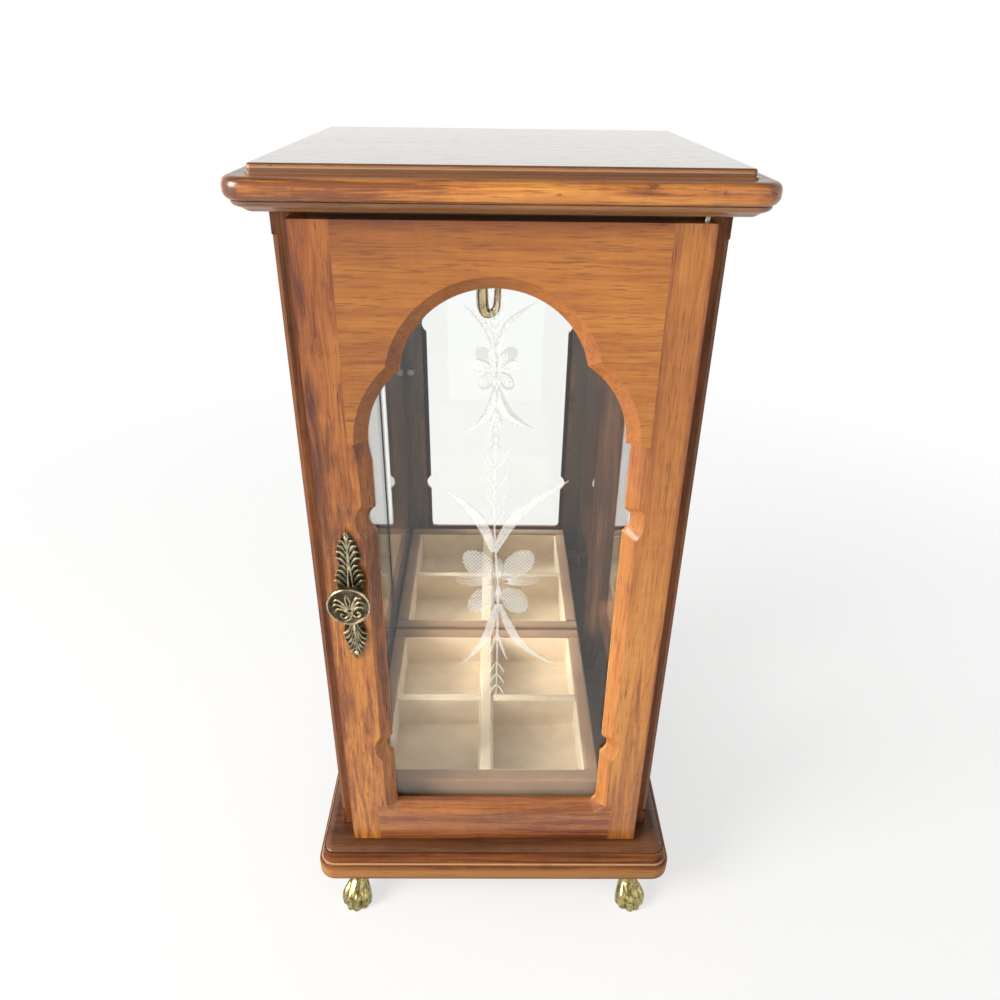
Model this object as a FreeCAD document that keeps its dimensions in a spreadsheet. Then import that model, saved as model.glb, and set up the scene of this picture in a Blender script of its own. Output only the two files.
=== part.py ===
import FreeCAD, Part
import math
import os
import re
import Sketcher

# Jewelry chest: a glazed wooden cabinet on four brass claw feet, with one glazed door that
# turns on pivot pins, a mirror back, a brass necklace hook and a loose divided tray.
# Millimetres. +Z is up, the door faces -Y, and the origin lies on the surface under the
# feet, at the plan centre of the base.

# Driving sizes, one cell of the sheet each
SIZES = {
    # Cabinet
    "body_width": 170.0,
    "body_depth": 148.0,
    "body_height": 330.3,
    "side_thickness": 13.5,
    "front_post_depth": 22.0,
    "rear_post_depth": 20.0,
    "side_sill_height": 50.0,
    "side_head_height": 30.0,
    "side_corner": 12.0,
    "floor_thickness": 5.0,
    "ceiling_thickness": 12.3,
    "edge_bevel": 2.0,
    "edge_bevel_stop": 10.0,
    # Panes, mirror and back
    "glass_thickness": 2.0,
    "pane_front_gap": 12.0,
    "pane_rear_gap": 12.0,
    "pane_bottom_gap": 19.0,
    "pane_top_gap": 18.3,
    "pane_clip_width": 6.0,
    "pane_clip_block": 4.0,
    "pane_clip_lip": 3.0,
    "pane_clip_thickness": 0.4,
    "pane_clip_inset": 22.0,
    "mirror_right_gap": 9.8,
    "mirror_thickness": 3.0,
    "mirror_top_gap": 0.6,
    "mirror_clip_width": 9.0,
    "mirror_clip_leg": 9.0,
    "mirror_clip_thickness": 1.0,
    "mirror_clip_spread": 70.0,
    "back_thickness": 5.0,
    "back_recess": 0.6,
    "back_rebate": 4.5,
    "brad_radius": 0.6,
    "brad_length": 13.0,
    "brad_inset": 35.0,
    # Door
    "door_gap": 1.0,
    "door_thickness": 10.1,
    "door_reveal": 8.0,
    "door_bottom_gap": 1.2,
    "door_top_gap": 2.6,
    "stile_width": 24.5,
    "stile_neck": 15.4,
    "stile_foot": 14.5,
    "top_rail_height": 87.7,
    "bottom_rail_height": 25.8,
    # Door window: a round-headed opening of three lobes with a bevel all round
    "bevel_width": 5.3,
    "bevel_depth": 4.5,
    "arch_radius": 43.0,
    "arch_rise": 25.2,
    "arch_shift": -2.4,
    "lobe_radius": 44.8,
    "lobe_margin": 0.65,
    "lobe_shift": -0.85,
    "window_margin": 18.0,
    "window_shift": 0.9,
    "window_sill": 20.3,
    "window_corner": 9.0,
    "notch_radius": 7.2,
    "notch_setback": 4.0,
    "notch_low": 67.8,
    "notch_high": 201.8,
    # Door glass
    "glass_lip": 2.2,
    "glass_lap": 6.4,
    "bead_width": 3.0,
    # Door pivots
    "pivot_inset": 3.2,
    "pivot_from_back": 5.5,
    "pivot_radius": 1.0,
    "pivot_in_door": 9.0,
    "pivot_in_frame": 3.0,
    "pivot_collar_radius": 2.4,
    "pivot_clearance": 0.05,
    "pivot_end_gap": 0.5,
    # Magnet catch
    "magnet_radius": 2.0,
    "magnet_length": 5.0,
    "strike_thickness": 0.7,
    "catch_height": 190.0,
    # Knob and backplate
    "knob_height": 166.0,
    "knob_from_edge": 11.4,
    "knob_radius": 9.75,
    "knob_stand": 10.4,
    "knob_rim": 2.2,
    "knob_neck": 3.6,
    "knob_foot": 5.4,
    "knob_foot_height": 1.4,
    "knob_bead": 0.8,
    "knob_dish": 0.6,
    "knob_screw_radius": 1.9,
    "knob_screw_bite": 5.0,
    "knob_screw_head": 3.4,
    "knob_screw_head_height": 1.8,
    "plate_thickness": 1.6,
    "plate_above": 34.5,
    "plate_below": 36.6,
    "plate_tip_curve": 20.0,
    "plate_low_half": 5.95,
    "plate_low_at": 21.6,
    "plate_waist_half": 3.6,
    "plate_waist_at": 12.0,
    "plate_middle_half": 7.2,
    "plate_middle_at": 9.8,
    "plate_neck_half": 4.2,
    "plate_neck_at": 15.5,
    "plate_high_half": 5.6,
    "plate_high_at": 21.0,
    "plate_pin_radius": 0.6,
    "plate_pin_length": 6.0,
    "plate_pin_head": 1.1,
    "plate_pin_inset": 4.0,
    # Lid: profiled board, slab and raised panel
    "lid_side": 11.7,
    "lid_front": 10.4,
    "under_height": 4.1,
    "under_setback": 2.4,
    "under_round": 3.8,
    "slab_height": 8.1,
    "slab_corner": 9.5,
    "slab_round": 3.4,
    "panel_height": 3.5,
    "panel_inset": 8.6,
    "panel_inset_front": 10.0,
    "panel_corner": 2.5,
    "panel_round": 1.2,
    "lid_screw_side": 20.0,
    "lid_screw_end": 24.0,
    "lid_screw_length": 20.0,
    # Base: board let into a mitred moulding
    "base_side": 11.8,
    "base_front": 10.8,
    "base_height": 20.0,
    "base_frame_width": 28.0,
    "base_board_thickness": 6.0,
    "base_board_edge": 4.0,
    "base_board_proud": 1.5,
    "base_band_height": 11.6,
    "base_corner": 9.5,
    "base_band_round": 2.6,
    "base_slope_setback": 1.0,
    "base_ledge": 0.6,
    # Feet
    "foot_height": 20.0,
    "foot_inset_side": 21.3,
    "foot_inset_front": 8.4,
    "foot_splay": 22.0,
    "foot_flange": 5.4,
    "foot_flange_height": 1.6,
    "ankle_radius": 4.2,
    "ankle_neck": 3.7,
    "paw_radius": 5.6,
    "paw_centre_height": 6.6,
    "toe_radius": 2.6,
    "toe_reach": 11.0,
    "toe_spread": 17.0,
    "toe_flat": 0.4,
    "foot_stud_radius": 1.5,
    "foot_stud_in_foot": 8.0,
    "foot_stud_in_base": 11.0,
    # Screws
    "screw_radius": 1.6,
    "screw_head": 3.1,
    "screw_head_height": 1.6,
    "screw_clearance": 0.05,
    "base_screw_bite": 14.0,
    # Necklace hook
    "hook_from_front": 12.0,
    "hook_offset": -4.4,
    "hook_drop": 31.0,
    "hook_wire": 1.5,
    "hook_bend": 3.3,
    "hook_tip": 5.5,
    "hook_ball": 1.65,
    "hook_collar": 4.2,
    "hook_collar_height": 1.4,
    "hook_thread": 9.0,
    # Tray
    "tray_height": 24.5,
    "tray_side": 7.5,
    "tray_end": 8.1,
    "tray_floor": 2.0,
    "tray_left_gap": 0.8,
    "tray_right_gap": 11.2,
    "tray_front_gap": 5.3,
    "tray_rear_gap": 1.1,
    "long_divider": 6.6,
    "cross_divider": 4.0,
    "cross_divider_drop": 1.0,
    "lining": 0.8,
    # Length by which a cutting solid passes the face that it starts from
    "cut_over": 1.0,
}

# Places and sizes that follow from the driving ones
DERIVED = {
    "base_half": "body_width / 2 + base_side",
    "base_half_depth": "(body_depth + door_gap + door_thickness + base_front + base_side) / 2",
    "base_top": "foot_height + base_height",
    "body_half": "body_width / 2",
    "body_front": "base_front + door_thickness + door_gap - base_half_depth",
    "body_back": "body_front + body_depth",
    "body_top": "base_top + body_height",
    "inner_half": "body_half - side_thickness",
    "floor_top": "base_top + floor_thickness",
    "ceiling": "body_top - ceiling_thickness",
    "glass_face": "inner_half - glass_thickness",
    "back_rear": "body_back - back_recess",
    "back_front": "back_rear - back_thickness",
    "mirror_front": "back_front - mirror_thickness",
    "mirror_right": "inner_half - mirror_right_gap",
    "mirror_top": "ceiling - mirror_top_gap",
    "pane_front": "body_front + pane_front_gap",
    "pane_rear": "body_back - pane_rear_gap",
    "pane_bottom": "base_top + pane_bottom_gap",
    "pane_top": "body_top - pane_top_gap",
    "door_half": "body_half - door_reveal",
    "door_back": "body_front - door_gap",
    "door_front": "door_back - door_thickness",
    "door_bottom": "base_top + door_bottom_gap",
    "door_top": "body_top - door_top_gap",
    "rail_line": "door_top - top_rail_height",
    "sill_line": "door_bottom + bottom_rail_height",
    "glass_front": "door_front + bevel_depth + glass_lip",
    "arch_top": "rail_line + arch_rise + arch_radius",
    "window_half": "door_half - window_margin",
    "lobe_reach": "window_half - lobe_margin",
    "window_left": "window_shift - window_half",
    "window_right": "window_shift + window_half",
    "window_bottom": "door_bottom + window_sill",
    "notch_left": "window_left + bevel_width + notch_setback",
    "notch_right": "window_right - bevel_width - notch_setback",
    "rebate_left": "window_left + bevel_width - glass_lap",
    "rebate_right": "window_right - bevel_width + glass_lap",
    "rebate_bottom": "window_bottom + bevel_width - glass_lap",
    "rebate_top": "arch_top - bevel_width + glass_lap",
    "pivot_x": "door_half - pivot_inset",
    "pivot_y": "door_back - pivot_from_back",
    "knob_x": "knob_from_edge - door_half",
    "knob_z": "base_top + knob_height",
    "strike_x": "-(door_half + inner_half) / 2",
    "lid_half": "body_half + lid_side",
    "lid_y0": "door_front - lid_front",
    "lid_y1": "body_back + lid_side",
    "slab_bottom": "body_top + under_height",
    "slab_top": "slab_bottom + slab_height",
    "frame_top": "base_top - base_board_proud",
    "board_half": "base_half - base_board_edge",
    "board_half_depth": "base_half_depth - base_board_edge",
    "board_under": "base_top - base_board_thickness",
    "foot_x": "base_half - foot_inset_side",
    "foot_y": "base_half_depth - foot_inset_front",
    "tray_left": "tray_left_gap - glass_face",
    "tray_right": "glass_face - tray_right_gap",
    "tray_front": "body_front + tray_front_gap",
    "tray_back": "mirror_front - tray_rear_gap",
    "tray_top": "floor_top + tray_height",
    "cell_left": "tray_left + tray_side",
    "divider_left": "(cell_left + cell_right - long_divider) / 2",
    "divider_right": "divider_left + long_divider",
    "cell_right": "tray_right - tray_side",
    "cell_front": "tray_front + tray_end",
    "cross_front": "(cell_front + cell_back - cross_divider) / 2",
    "cross_back": "cross_front + cross_divider",
    "cell_back": "tray_back - tray_end",
    "hook_left": "hook_offset - hook_bend",
    "hook_right": "hook_offset + hook_bend",
    "hook_y": "body_front + hook_from_front",
    "hook_bend_z": "ceiling - hook_drop + hook_wire + hook_bend",
}

doc = FreeCAD.newDocument("JewelryChest")
sheet = doc.addObject("Spreadsheet::Sheet", "Sizes")
for row, (alias, number) in enumerate(SIZES.items(), start=1):
    sheet.set(f"A{row}", f"{number:g}")
    sheet.setAlias(f"A{row}", alias)
doc.recompute()

X_AXIS = FreeCAD.Vector(1, 0, 0)
Y_AXIS = FreeCAD.Vector(0, 1, 0)
Z_AXIS = FreeCAD.Vector(0, 0, 1)
NAME = re.compile(r"[a-z][a-z_0-9]*")
SAME_PLACE = 1e-4
TURNS = {"z": (Z_AXIS, 0), "y": (X_AXIS, -90), "x": (Y_AXIS, 90), "-z": (X_AXIS, 180), "-y": (X_AXIS, 90)}
pieces = {}


def spelled(text):
    """Writes a sum of named sizes and places as an expression on the sheet's cells."""
    def cell(match):
        word = match.group(0)
        if word in SIZES:
            return "Sizes." + word
        if word in DERIVED:
            return "(" + spelled(DERIVED[word]) + ")"
        return word
    return NAME.sub(cell, str(text))


def value(text):
    """The number that a sum of named sizes and places has now."""
    return float(sheet.evalExpression(spelled(text)))


def bind(thing, **sizes):
    for name, text in sizes.items():
        thing.setExpression(name, spelled(text))


def place(thing, x, y, z, turn="z"):
    axis, angle = TURNS[turn]
    thing.Placement = FreeCAD.Placement(FreeCAD.Vector(), FreeCAD.Rotation(axis, angle))
    for name, text in zip("xyz", (x, y, z)):
        thing.setExpression(f"Placement.Base.{name}", spelled(text))
    return thing


def keep(node, thing):
    """Names a finished piece."""
    thing.Label = node
    pieces[node] = thing
    return thing


def block(x, y, z):
    """A box between two places on each axis."""
    box = doc.addObject("Part::Box", "Block")
    bind(box, **{side: f"({high}) - ({low})" for side, (low, high) in
                 zip(("Length", "Width", "Height"), (x, y, z))})
    return place(box, x[0], y[0], z[0])


def rod(centre, radius, length, turn="z"):
    cylinder = doc.addObject("Part::Cylinder", "Rod")
    bind(cylinder, Radius=radius, Height=length)
    return place(cylinder, *centre, turn)


def taper(centre, near, far, length, turn="z"):
    cone = doc.addObject("Part::Cone", "Taper")
    bind(cone, Radius1=near, Radius2=far, Height=length)
    return place(cone, *centre, turn)


def ball(centre, radius):
    sphere = doc.addObject("Part::Sphere", "Ball")
    bind(sphere, Radius=radius)
    return place(sphere, *centre)


def joined(*parts):
    if len(parts) == 1:
        return parts[0]
    whole = doc.addObject("Part::MultiFuse", "Joined")
    whole.Shapes = list(parts)
    return whole


def cut(base, *tools):
    left = doc.addObject("Part::Cut", "Cut")
    left.Base = base
    left.Tool = joined(*tools)
    return left


def common(first, second):
    both = doc.addObject("Part::Common", "Common")
    both.Base = first
    both.Tool = second
    return both


def mirrored(source, normal):
    """The mirror image of a piece across the plane through the origin with this normal."""
    image = doc.addObject("Part::Mirroring", "Image")
    image.Source = source
    image.Normal = normal
    return image


def sketch_on(body, role):
    """An empty sketch on one of a body's own origin planes."""
    plane = next(feature for feature in body.Origin.OriginFeatures if feature.Role == role)
    sketch = body.newObject("Sketcher::SketchObject", "Outline")
    sketch.AttachmentSupport = [(plane, "")]
    sketch.MapMode = "FlatFace"
    return sketch


def arc_between(start, end, radius, side):
    """The short arc of a radius from start to end, bulging to the right (1) or left (-1)."""
    chord = end - start
    across = FreeCAD.Vector(chord.y, -chord.x, 0).normalize()
    half = chord.Length / 2
    rise = math.sqrt(radius ** 2 - half ** 2)
    centre = (start + end) / 2 - across * (side * rise)
    middle = centre + across * (side * radius)
    return Part.Arc(start, middle, end)


def outline(body, role, corners, arcs=None):
    """A closed outline through corners given as pairs of named sums.

    arcs gives, for the side that starts at a corner, its radius and the way it bulges.
    """
    arcs = arcs or {}
    sketch = sketch_on(body, role)
    points = [FreeCAD.Vector(value(u), value(v), 0) for u, v in corners]
    last = len(points) - 1
    ends = {}
    for index, start in enumerate(points):
        end = points[0 if index == last else index + 1]
        ends[index] = (1, 2)
        if index in arcs:
            radius, side = arcs[index]
            arc = arc_between(start, end, value(radius), side)
            sketch.addGeometry(arc, False)
            if sketch.Geometry[index].StartPoint.distanceToPoint(start) > SAME_PLACE:
                ends[index] = (2, 1)
            number = sketch.addConstraint(Sketcher.Constraint("Radius", index, value(radius)))
            sketch.setExpression(f"Constraints[{number}]", spelled(radius))
        else:
            sketch.addGeometry(Part.LineSegment(start, end), False)
    for index in range(len(points)):
        after = 0 if index == last else index + 1
        sketch.addConstraint(Sketcher.Constraint("Coincident", index, ends[index][1], after, ends[after][0]))
    for index, (u, v) in enumerate(corners):
        for kind, text in (("DistanceX", u), ("DistanceY", v)):
            pin = Sketcher.Constraint(kind, -1, 1, index, ends[index][0], value(text))
            number = sketch.addConstraint(pin)
            sketch.setExpression(f"Constraints[{number}]", spelled(text))
    return sketch


def padded(role, corners, length, arcs=None, slope=None):
    """A body made by padding one outline; slope leans its sides inwards by that many degrees."""
    body = doc.addObject("PartDesign::Body", "Padded")
    pad = body.newObject("PartDesign::Pad", "Pad")
    pad.Profile = outline(body, role, corners, arcs)
    bind(pad, Length=length)
    if slope:
        bind(pad, TaperAngle=f"-({slope})")
    return body


def turned(corners, arcs=None):
    """A body revolved about its own Z axis; corners are pairs of radius and height."""
    body = doc.addObject("PartDesign::Body", "Turned")
    profile = outline(body, "XZ_Plane", corners, arcs)
    spin = body.newObject("PartDesign::Revolution", "Spin")
    spin.Profile = profile
    spin.ReferenceAxis = (profile, ["V_Axis"])
    spin.Angle = 360
    return body


def rounded(body, radius, wanted):
    """Rounds the edges of a body that the test wanted picks out."""
    doc.recompute()
    tip = body.Tip
    names = [f"Edge{number}" for number, edge in enumerate(tip.Shape.Edges, start=1) if wanted(edge)]
    fillet = body.newObject("PartDesign::Fillet", "Round")
    fillet.Base = (tip, names)
    bind(fillet, Radius=radius)
    body.Tip = fillet
    return body


def upright(edge):
    ends = [vertex.Point for vertex in edge.Vertexes]
    return len(ends) == 2 and abs(ends[0].z - ends[1].z) > 0.5 * edge.Length


def level(height):
    """The test for edges that lie at one height of the body's own frame."""
    def at_height(edge):
        box = edge.BoundBox
        return abs(box.ZMin - value(height)) < SAME_PLACE and abs(box.ZMax - value(height)) < SAME_PLACE
    return at_height


def profiled_board(x, y, z, corner, lower=None, upper=None, slope=None):
    """A board with rounded corners, whose lower and upper edges may be rounded too."""
    corners = [(x[0], y[0]), (x[1], y[0]), (x[1], y[1]), (x[0], y[1])]
    thickness = f"({z[1]}) - ({z[0]})"
    board = rounded(padded("XY_Plane", corners, thickness, slope=slope), corner, upright)
    if lower:
        rounded(board, lower, level("0"))
    if upper:
        rounded(board, upper, level(thickness))
    return place(board, "0", "0", z[0])


def screws(node, places, length, turn="z"):
    """Countersunk screws in one node; returns the holes that they need."""
    made = []
    holes = []
    for centre in places:
        made.append(taper(centre, "screw_head", "screw_radius", "screw_head_height", turn))
        made.append(rod(centre, "screw_radius", length, turn))
        holes.append(taper(centre, "screw_head + screw_clearance", "screw_radius + screw_clearance",
                           "screw_head_height", turn))
        holes.append(rod(centre, "screw_radius + screw_clearance", f"{length} + screw_clearance", turn))
    keep(node, joined(*made))
    return holes


# Screws that hold the cabinet to its base and lid
POST_SCREW_X = "(inner_half + body_half) / 2"
FRONT_SCREW_Y = "body_front + front_post_depth / 2"
REAR_SCREW_Y = "body_back - rear_post_depth / 2"
base_screw_holes = screws(
    "base_screws",
    [(f"{side} * {POST_SCREW_X}", y, "foot_height")
     for side in (-1, 1) for y in (FRONT_SCREW_Y, REAR_SCREW_Y)],
    "base_height + base_screw_bite")
lid_screw_holes = screws(
    "lid_screws",
    [(f"{side} * (inner_half - lid_screw_side)", y, "ceiling")
     for side in (-1, 1) for y in ("body_front + lid_screw_end", "mirror_front - lid_screw_end")],
    "lid_screw_length")

# Foot studs, from each foot up into the base moulding
STUD_BOTTOM = "foot_height - foot_stud_in_foot"
STUD_LENGTH = "foot_stud_in_foot + foot_stud_in_base"
stud_places = [(f"{side} * foot_x", f"{end} * foot_y", STUD_BOTTOM) for side in (-1, 1) for end in (-1, 1)]
keep("foot_studs", joined(*[rod(centre, "foot_stud_radius", STUD_LENGTH) for centre in stud_places]))
stud_holes = [rod(centre, "foot_stud_radius + screw_clearance", f"{STUD_LENGTH} + screw_clearance")
              for centre in stud_places]


def base_moulding():
    """The moulding round the base: a rounded band under a slope, mitred at four corners."""
    band_top = "foot_height + base_band_height"
    slope_half = "(base_half - base_slope_setback)"
    slope_depth = "(base_half_depth - base_slope_setback)"
    band = profiled_board(("-base_half", "base_half"), ("-base_half_depth", "base_half_depth"),
                          ("foot_height", band_top), "base_corner",
                          lower="base_band_round", upper="base_band_round")
    slope_bottom = f"{band_top} - base_band_round"
    lean = f"atan((base_board_edge - base_ledge - base_slope_setback) / (frame_top - ({slope_bottom})))"
    slope = profiled_board((f"-{slope_half}", slope_half), (f"-{slope_depth}", slope_depth),
                           (slope_bottom, "frame_top"), "base_corner - base_slope_setback", slope=lean)
    inner_half = "(base_half - base_frame_width)"
    inner_depth = "(base_half_depth - base_frame_width)"
    middle = block((f"-{inner_half}", inner_half), (f"-{inner_depth}", inner_depth),
                   ("foot_height - cut_over", "frame_top + cut_over"))
    seat = block(("-board_half", "board_half"), ("-board_half_depth", "board_half_depth"),
                 ("board_under", "frame_top + cut_over"))
    ring = cut(joined(band, slope), middle, seat, *base_screw_holes, *stud_holes)
    sides = {"front": ("base_half", "base_half_depth", 0), "right": ("base_half_depth", "base_half", 90),
             "back": ("base_half", "base_half_depth", 180), "left": ("base_half_depth", "base_half", 270)}
    for side, (half, reach, turn) in sides.items():
        mitre = doc.addObject("Part::Wedge", "Mitre")
        bind(mitre, Xmin=f"-{half}", Xmax=half, X2min=f"base_frame_width - {half}",
             X2max=f"{half} - base_frame_width", Ymin=f"-{reach}", Ymax=f"base_frame_width - {reach}",
             Zmin="foot_height", Zmax="base_top", Z2min="foot_height", Z2max="base_top")
        mitre.Placement = FreeCAD.Placement(FreeCAD.Vector(), FreeCAD.Rotation(Z_AXIS, turn))
        keep(f"base_moulding_{side}", common(ring, mitre))


def base():
    base_moulding()
    board = block(("-board_half", "board_half"), ("-board_half_depth", "board_half_depth"),
                  ("board_under", "base_top"))
    pivot_hole = rod(("pivot_x", "pivot_y", "base_top - pivot_in_frame"), "pivot_radius",
                     "pivot_in_frame + cut_over")
    keep("base_board", cut(board, pivot_hole, *base_screw_holes))


def feet():
    """Claw feet: a flange, an ankle and a paw with four toes that turn forwards and outwards."""
    solids = [
        rod(("0", "0", "foot_height - foot_flange_height"), "foot_flange", "foot_flange_height"),
        taper(("0", "0", "paw_centre_height"), "ankle_neck", "ankle_radius",
              "foot_height - paw_centre_height - foot_flange_height / 2"),
        ball(("0", "0 - paw_radius / 3", "paw_centre_height"), "paw_radius"),
    ]
    for step in (-1.5, -0.5, 0.5, 1.5):
        angle = f"({step} * toe_spread)"
        start = (f"sin({angle}) * toe_radius", f"-cos({angle}) * toe_radius", "toe_radius * 1.5")
        end = (f"sin({angle}) * toe_reach", f"-cos({angle}) * toe_reach", "toe_radius - toe_flat")
        drop = "atan((toe_radius * 0.5 + toe_flat) / (toe_reach - toe_radius))"
        toe = taper(start, "toe_radius * 1.1", "toe_radius * 0.85", "toe_reach - toe_radius", "-y")
        tilt = FreeCAD.Rotation(X_AXIS, 90 + value(drop))
        heading = FreeCAD.Rotation(Z_AXIS, step * value("toe_spread")).multiply(tilt)
        toe.Placement = FreeCAD.Placement(toe.Placement.Base, heading)
        solids += [toe, ball(end, "toe_radius")]
    blank = joined(*solids)
    splay = FreeCAD.Rotation(Z_AXIS, -value("foot_splay"))
    blank.Placement = FreeCAD.Placement(FreeCAD.Vector(), splay)
    for name, text in zip("xyz", ("-foot_x", "-foot_y", "0")):
        blank.setExpression(f"Placement.Base.{name}", spelled(text))
    floor = block(("-base_half - foot_height", "base_half + foot_height"),
                  ("-base_half_depth - foot_height", "0"), ("-foot_height", "0"))
    foot = keep("foot_front_left", cut(blank, floor, *stud_holes))
    keep("foot_front_right", mirrored(foot, X_AXIS))
    rear = keep("foot_rear_left", mirrored(foot, Y_AXIS))
    keep("foot_rear_right", mirrored(rear, X_AXIS))


def side_frames():
    """Two glazed sides: posts, a deep bottom rail and a top rail round a window."""
    window_front = "body_front + front_post_depth"
    window_back = "body_back - rear_post_depth"
    window_low = "base_top + side_sill_height"
    window_high = "body_top - side_head_height"
    for side, sign in (("left", -1), ("right", 1)):
        inner, outer = ("-body_half", "-inner_half") if sign < 0 else ("inner_half", "body_half")
        window = side_window(inner, window_front, window_back, window_low, window_high)
        post = block((inner, outer), ("body_front", window_front), ("base_top", "body_top"))
        bevel = block(("0", "edge_bevel * sqrt(2)"), ("0", "edge_bevel * sqrt(2)"),
                      ("0", "body_height - 2 * edge_bevel_stop"))
        place(bevel, f"{sign} * body_half", "body_front - edge_bevel", "base_top + edge_bevel_stop")
        bevel.setExpression("Placement.Rotation.Angle", "45")
        tools = [bevel, *base_screw_holes]
        if sign < 0:
            tools.append(rod(("strike_x", "body_front", "base_top + catch_height"), "magnet_radius",
                             "magnet_length", "y"))
        keep(f"front_post_{side}", cut(post, *tools))
        rear = block((inner, outer), (window_back, "body_back"), ("base_top", "body_top"))
        rebate = block(("-inner_half - back_rebate", "inner_half + back_rebate"),
                       ("back_front", "body_back + cut_over"), ("base_top - cut_over", "body_top + cut_over"))
        keep(f"rear_post_{side}", cut(rear, rebate, *brad_holes, *base_screw_holes))
        sill = block((inner, outer), (window_front, window_back), ("base_top", f"{window_low} + side_corner"))
        keep(f"side_bottom_rail_{side}", cut(sill, window))
        head = block((inner, outer), (window_front, window_back),
                     (f"{window_high} - side_corner", "body_top"))
        keep(f"side_top_rail_{side}", cut(head, window))
        pane_low, pane_high = ("-inner_half", "-glass_face") if sign < 0 else ("glass_face", "inner_half")
        keep(f"side_glass_{side}", block((pane_low, pane_high), ("pane_front", "pane_rear"),
                                         ("pane_bottom", "pane_top")))


def side_window(inner, front, back, low, high):
    """The solid that cuts a side's round-cornered window."""
    corners = [(front, low), (back, low), (back, high), (front, high)]
    hole = rounded(padded("YZ_Plane", corners, "side_thickness + 2 * cut_over"), "side_corner", along_x)
    place(hole, f"{inner} - cut_over", "0", "0")
    return hole


def along_x(edge):
    box = edge.BoundBox
    return box.XLength > 0.9 * edge.Length and box.YLength < SAME_PLACE


def pane_clips():
    """Small brass clips below and above each side pane, screwed to the wood."""
    parts = []
    for sign in (-1, 1):
        wood = "inner_half"
        face = "glass_face - pane_clip_thickness"
        span = (f"-{wood}", f"-({face})") if sign < 0 else (face, wood)
        lip = ("-glass_face", f"-({face})") if sign < 0 else (face, "glass_face")
        for middle in ("pane_front + pane_clip_inset", "pane_rear - pane_clip_inset"):
            along = (f"{middle} - pane_clip_width / 2", f"{middle} + pane_clip_width / 2")
            parts.append(block(span, along, ("pane_bottom - pane_clip_block", "pane_bottom")))
            parts.append(block(lip, along, ("pane_bottom - pane_clip_block", "pane_bottom + pane_clip_lip")))
            parts.append(block(span, along, ("pane_top", "pane_top + pane_clip_block")))
            parts.append(block(lip, along, ("pane_top - pane_clip_lip", "pane_top + pane_clip_block")))
    keep("side_glass_clips", joined(*parts))


BRAD_X = "(inner_half + back_rebate / 2)"
brad_places = [(f"{sign} * {BRAD_X}", "back_rear - brad_length", z)
               for sign in (-1, 1)
               for z in ("base_top + brad_inset", "base_top + body_height / 2", "body_top - brad_inset")]
brad_holes = [rod(centre, "brad_radius", "brad_length + cut_over", "y") for centre in brad_places]


def back():
    """The back panel in the rear posts' rebates, its brads, and the mirror that stands before it."""
    panel = block(("-inner_half - back_rebate", "inner_half + back_rebate"), ("back_front", "back_rear"),
                  ("base_top", "body_top"))
    keep("back_panel", cut(panel, *brad_holes))
    keep("back_brads", joined(*[rod(centre, "brad_radius", "brad_length", "y") for centre in brad_places]))
    keep("back_mirror", block(("-inner_half", "mirror_right"), ("mirror_front", "back_front"),
                              ("floor_top", "mirror_top")))
    clips = []
    for sign in (-1, 1):
        middle = f"(mirror_right - inner_half) / 2 + {sign} * mirror_clip_spread / 2"
        across = (f"{middle} - mirror_clip_width / 2", f"{middle} + mirror_clip_width / 2")
        clips.append(block(across, ("mirror_front - mirror_clip_thickness", "mirror_front"),
                           ("ceiling - mirror_clip_leg", "ceiling")))
        clips.append(block(across, ("mirror_front - mirror_clip_leg", "mirror_front"),
                           ("ceiling - mirror_clip_thickness / 2", "ceiling")))
    keep("mirror_clips", joined(*clips))


def inside():
    """Floor and ceiling boards between the sides, the catch magnet and the necklace hook."""
    between = ("-inner_half", "inner_half")
    keep("floor_board", block(between, ("body_front", "back_front"), ("base_top", "floor_top")))
    thread_hole = rod(("hook_left", "hook_y", "ceiling"), "hook_wire", "hook_thread")
    board = block(between, ("body_front", "back_front"), ("ceiling", "body_top"))
    keep("ceiling_board", cut(board, thread_hole, *lid_screw_holes))
    keep("catch_magnet", rod(("strike_x", "body_front", "base_top + catch_height"), "magnet_radius",
                             "magnet_length", "y"))
    bend = doc.addObject("Part::Torus", "Bend")
    bind(bend, Radius1="hook_bend", Radius2="hook_wire")
    bend.Angle3 = 180
    place(bend, "hook_offset", "hook_y", "hook_bend_z", "y")
    keep("necklace_hook", joined(
        bend,
        rod(("hook_left", "hook_y", "hook_bend_z"), "hook_wire", "ceiling + hook_thread - hook_bend_z"),
        rod(("hook_left", "hook_y", "ceiling - hook_collar_height"), "hook_collar", "hook_collar_height"),
        rod(("hook_right", "hook_y", "hook_bend_z"), "hook_wire", "hook_tip"),
        ball(("hook_right", "hook_y", "hook_bend_z + hook_tip"), "hook_ball")))


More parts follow.
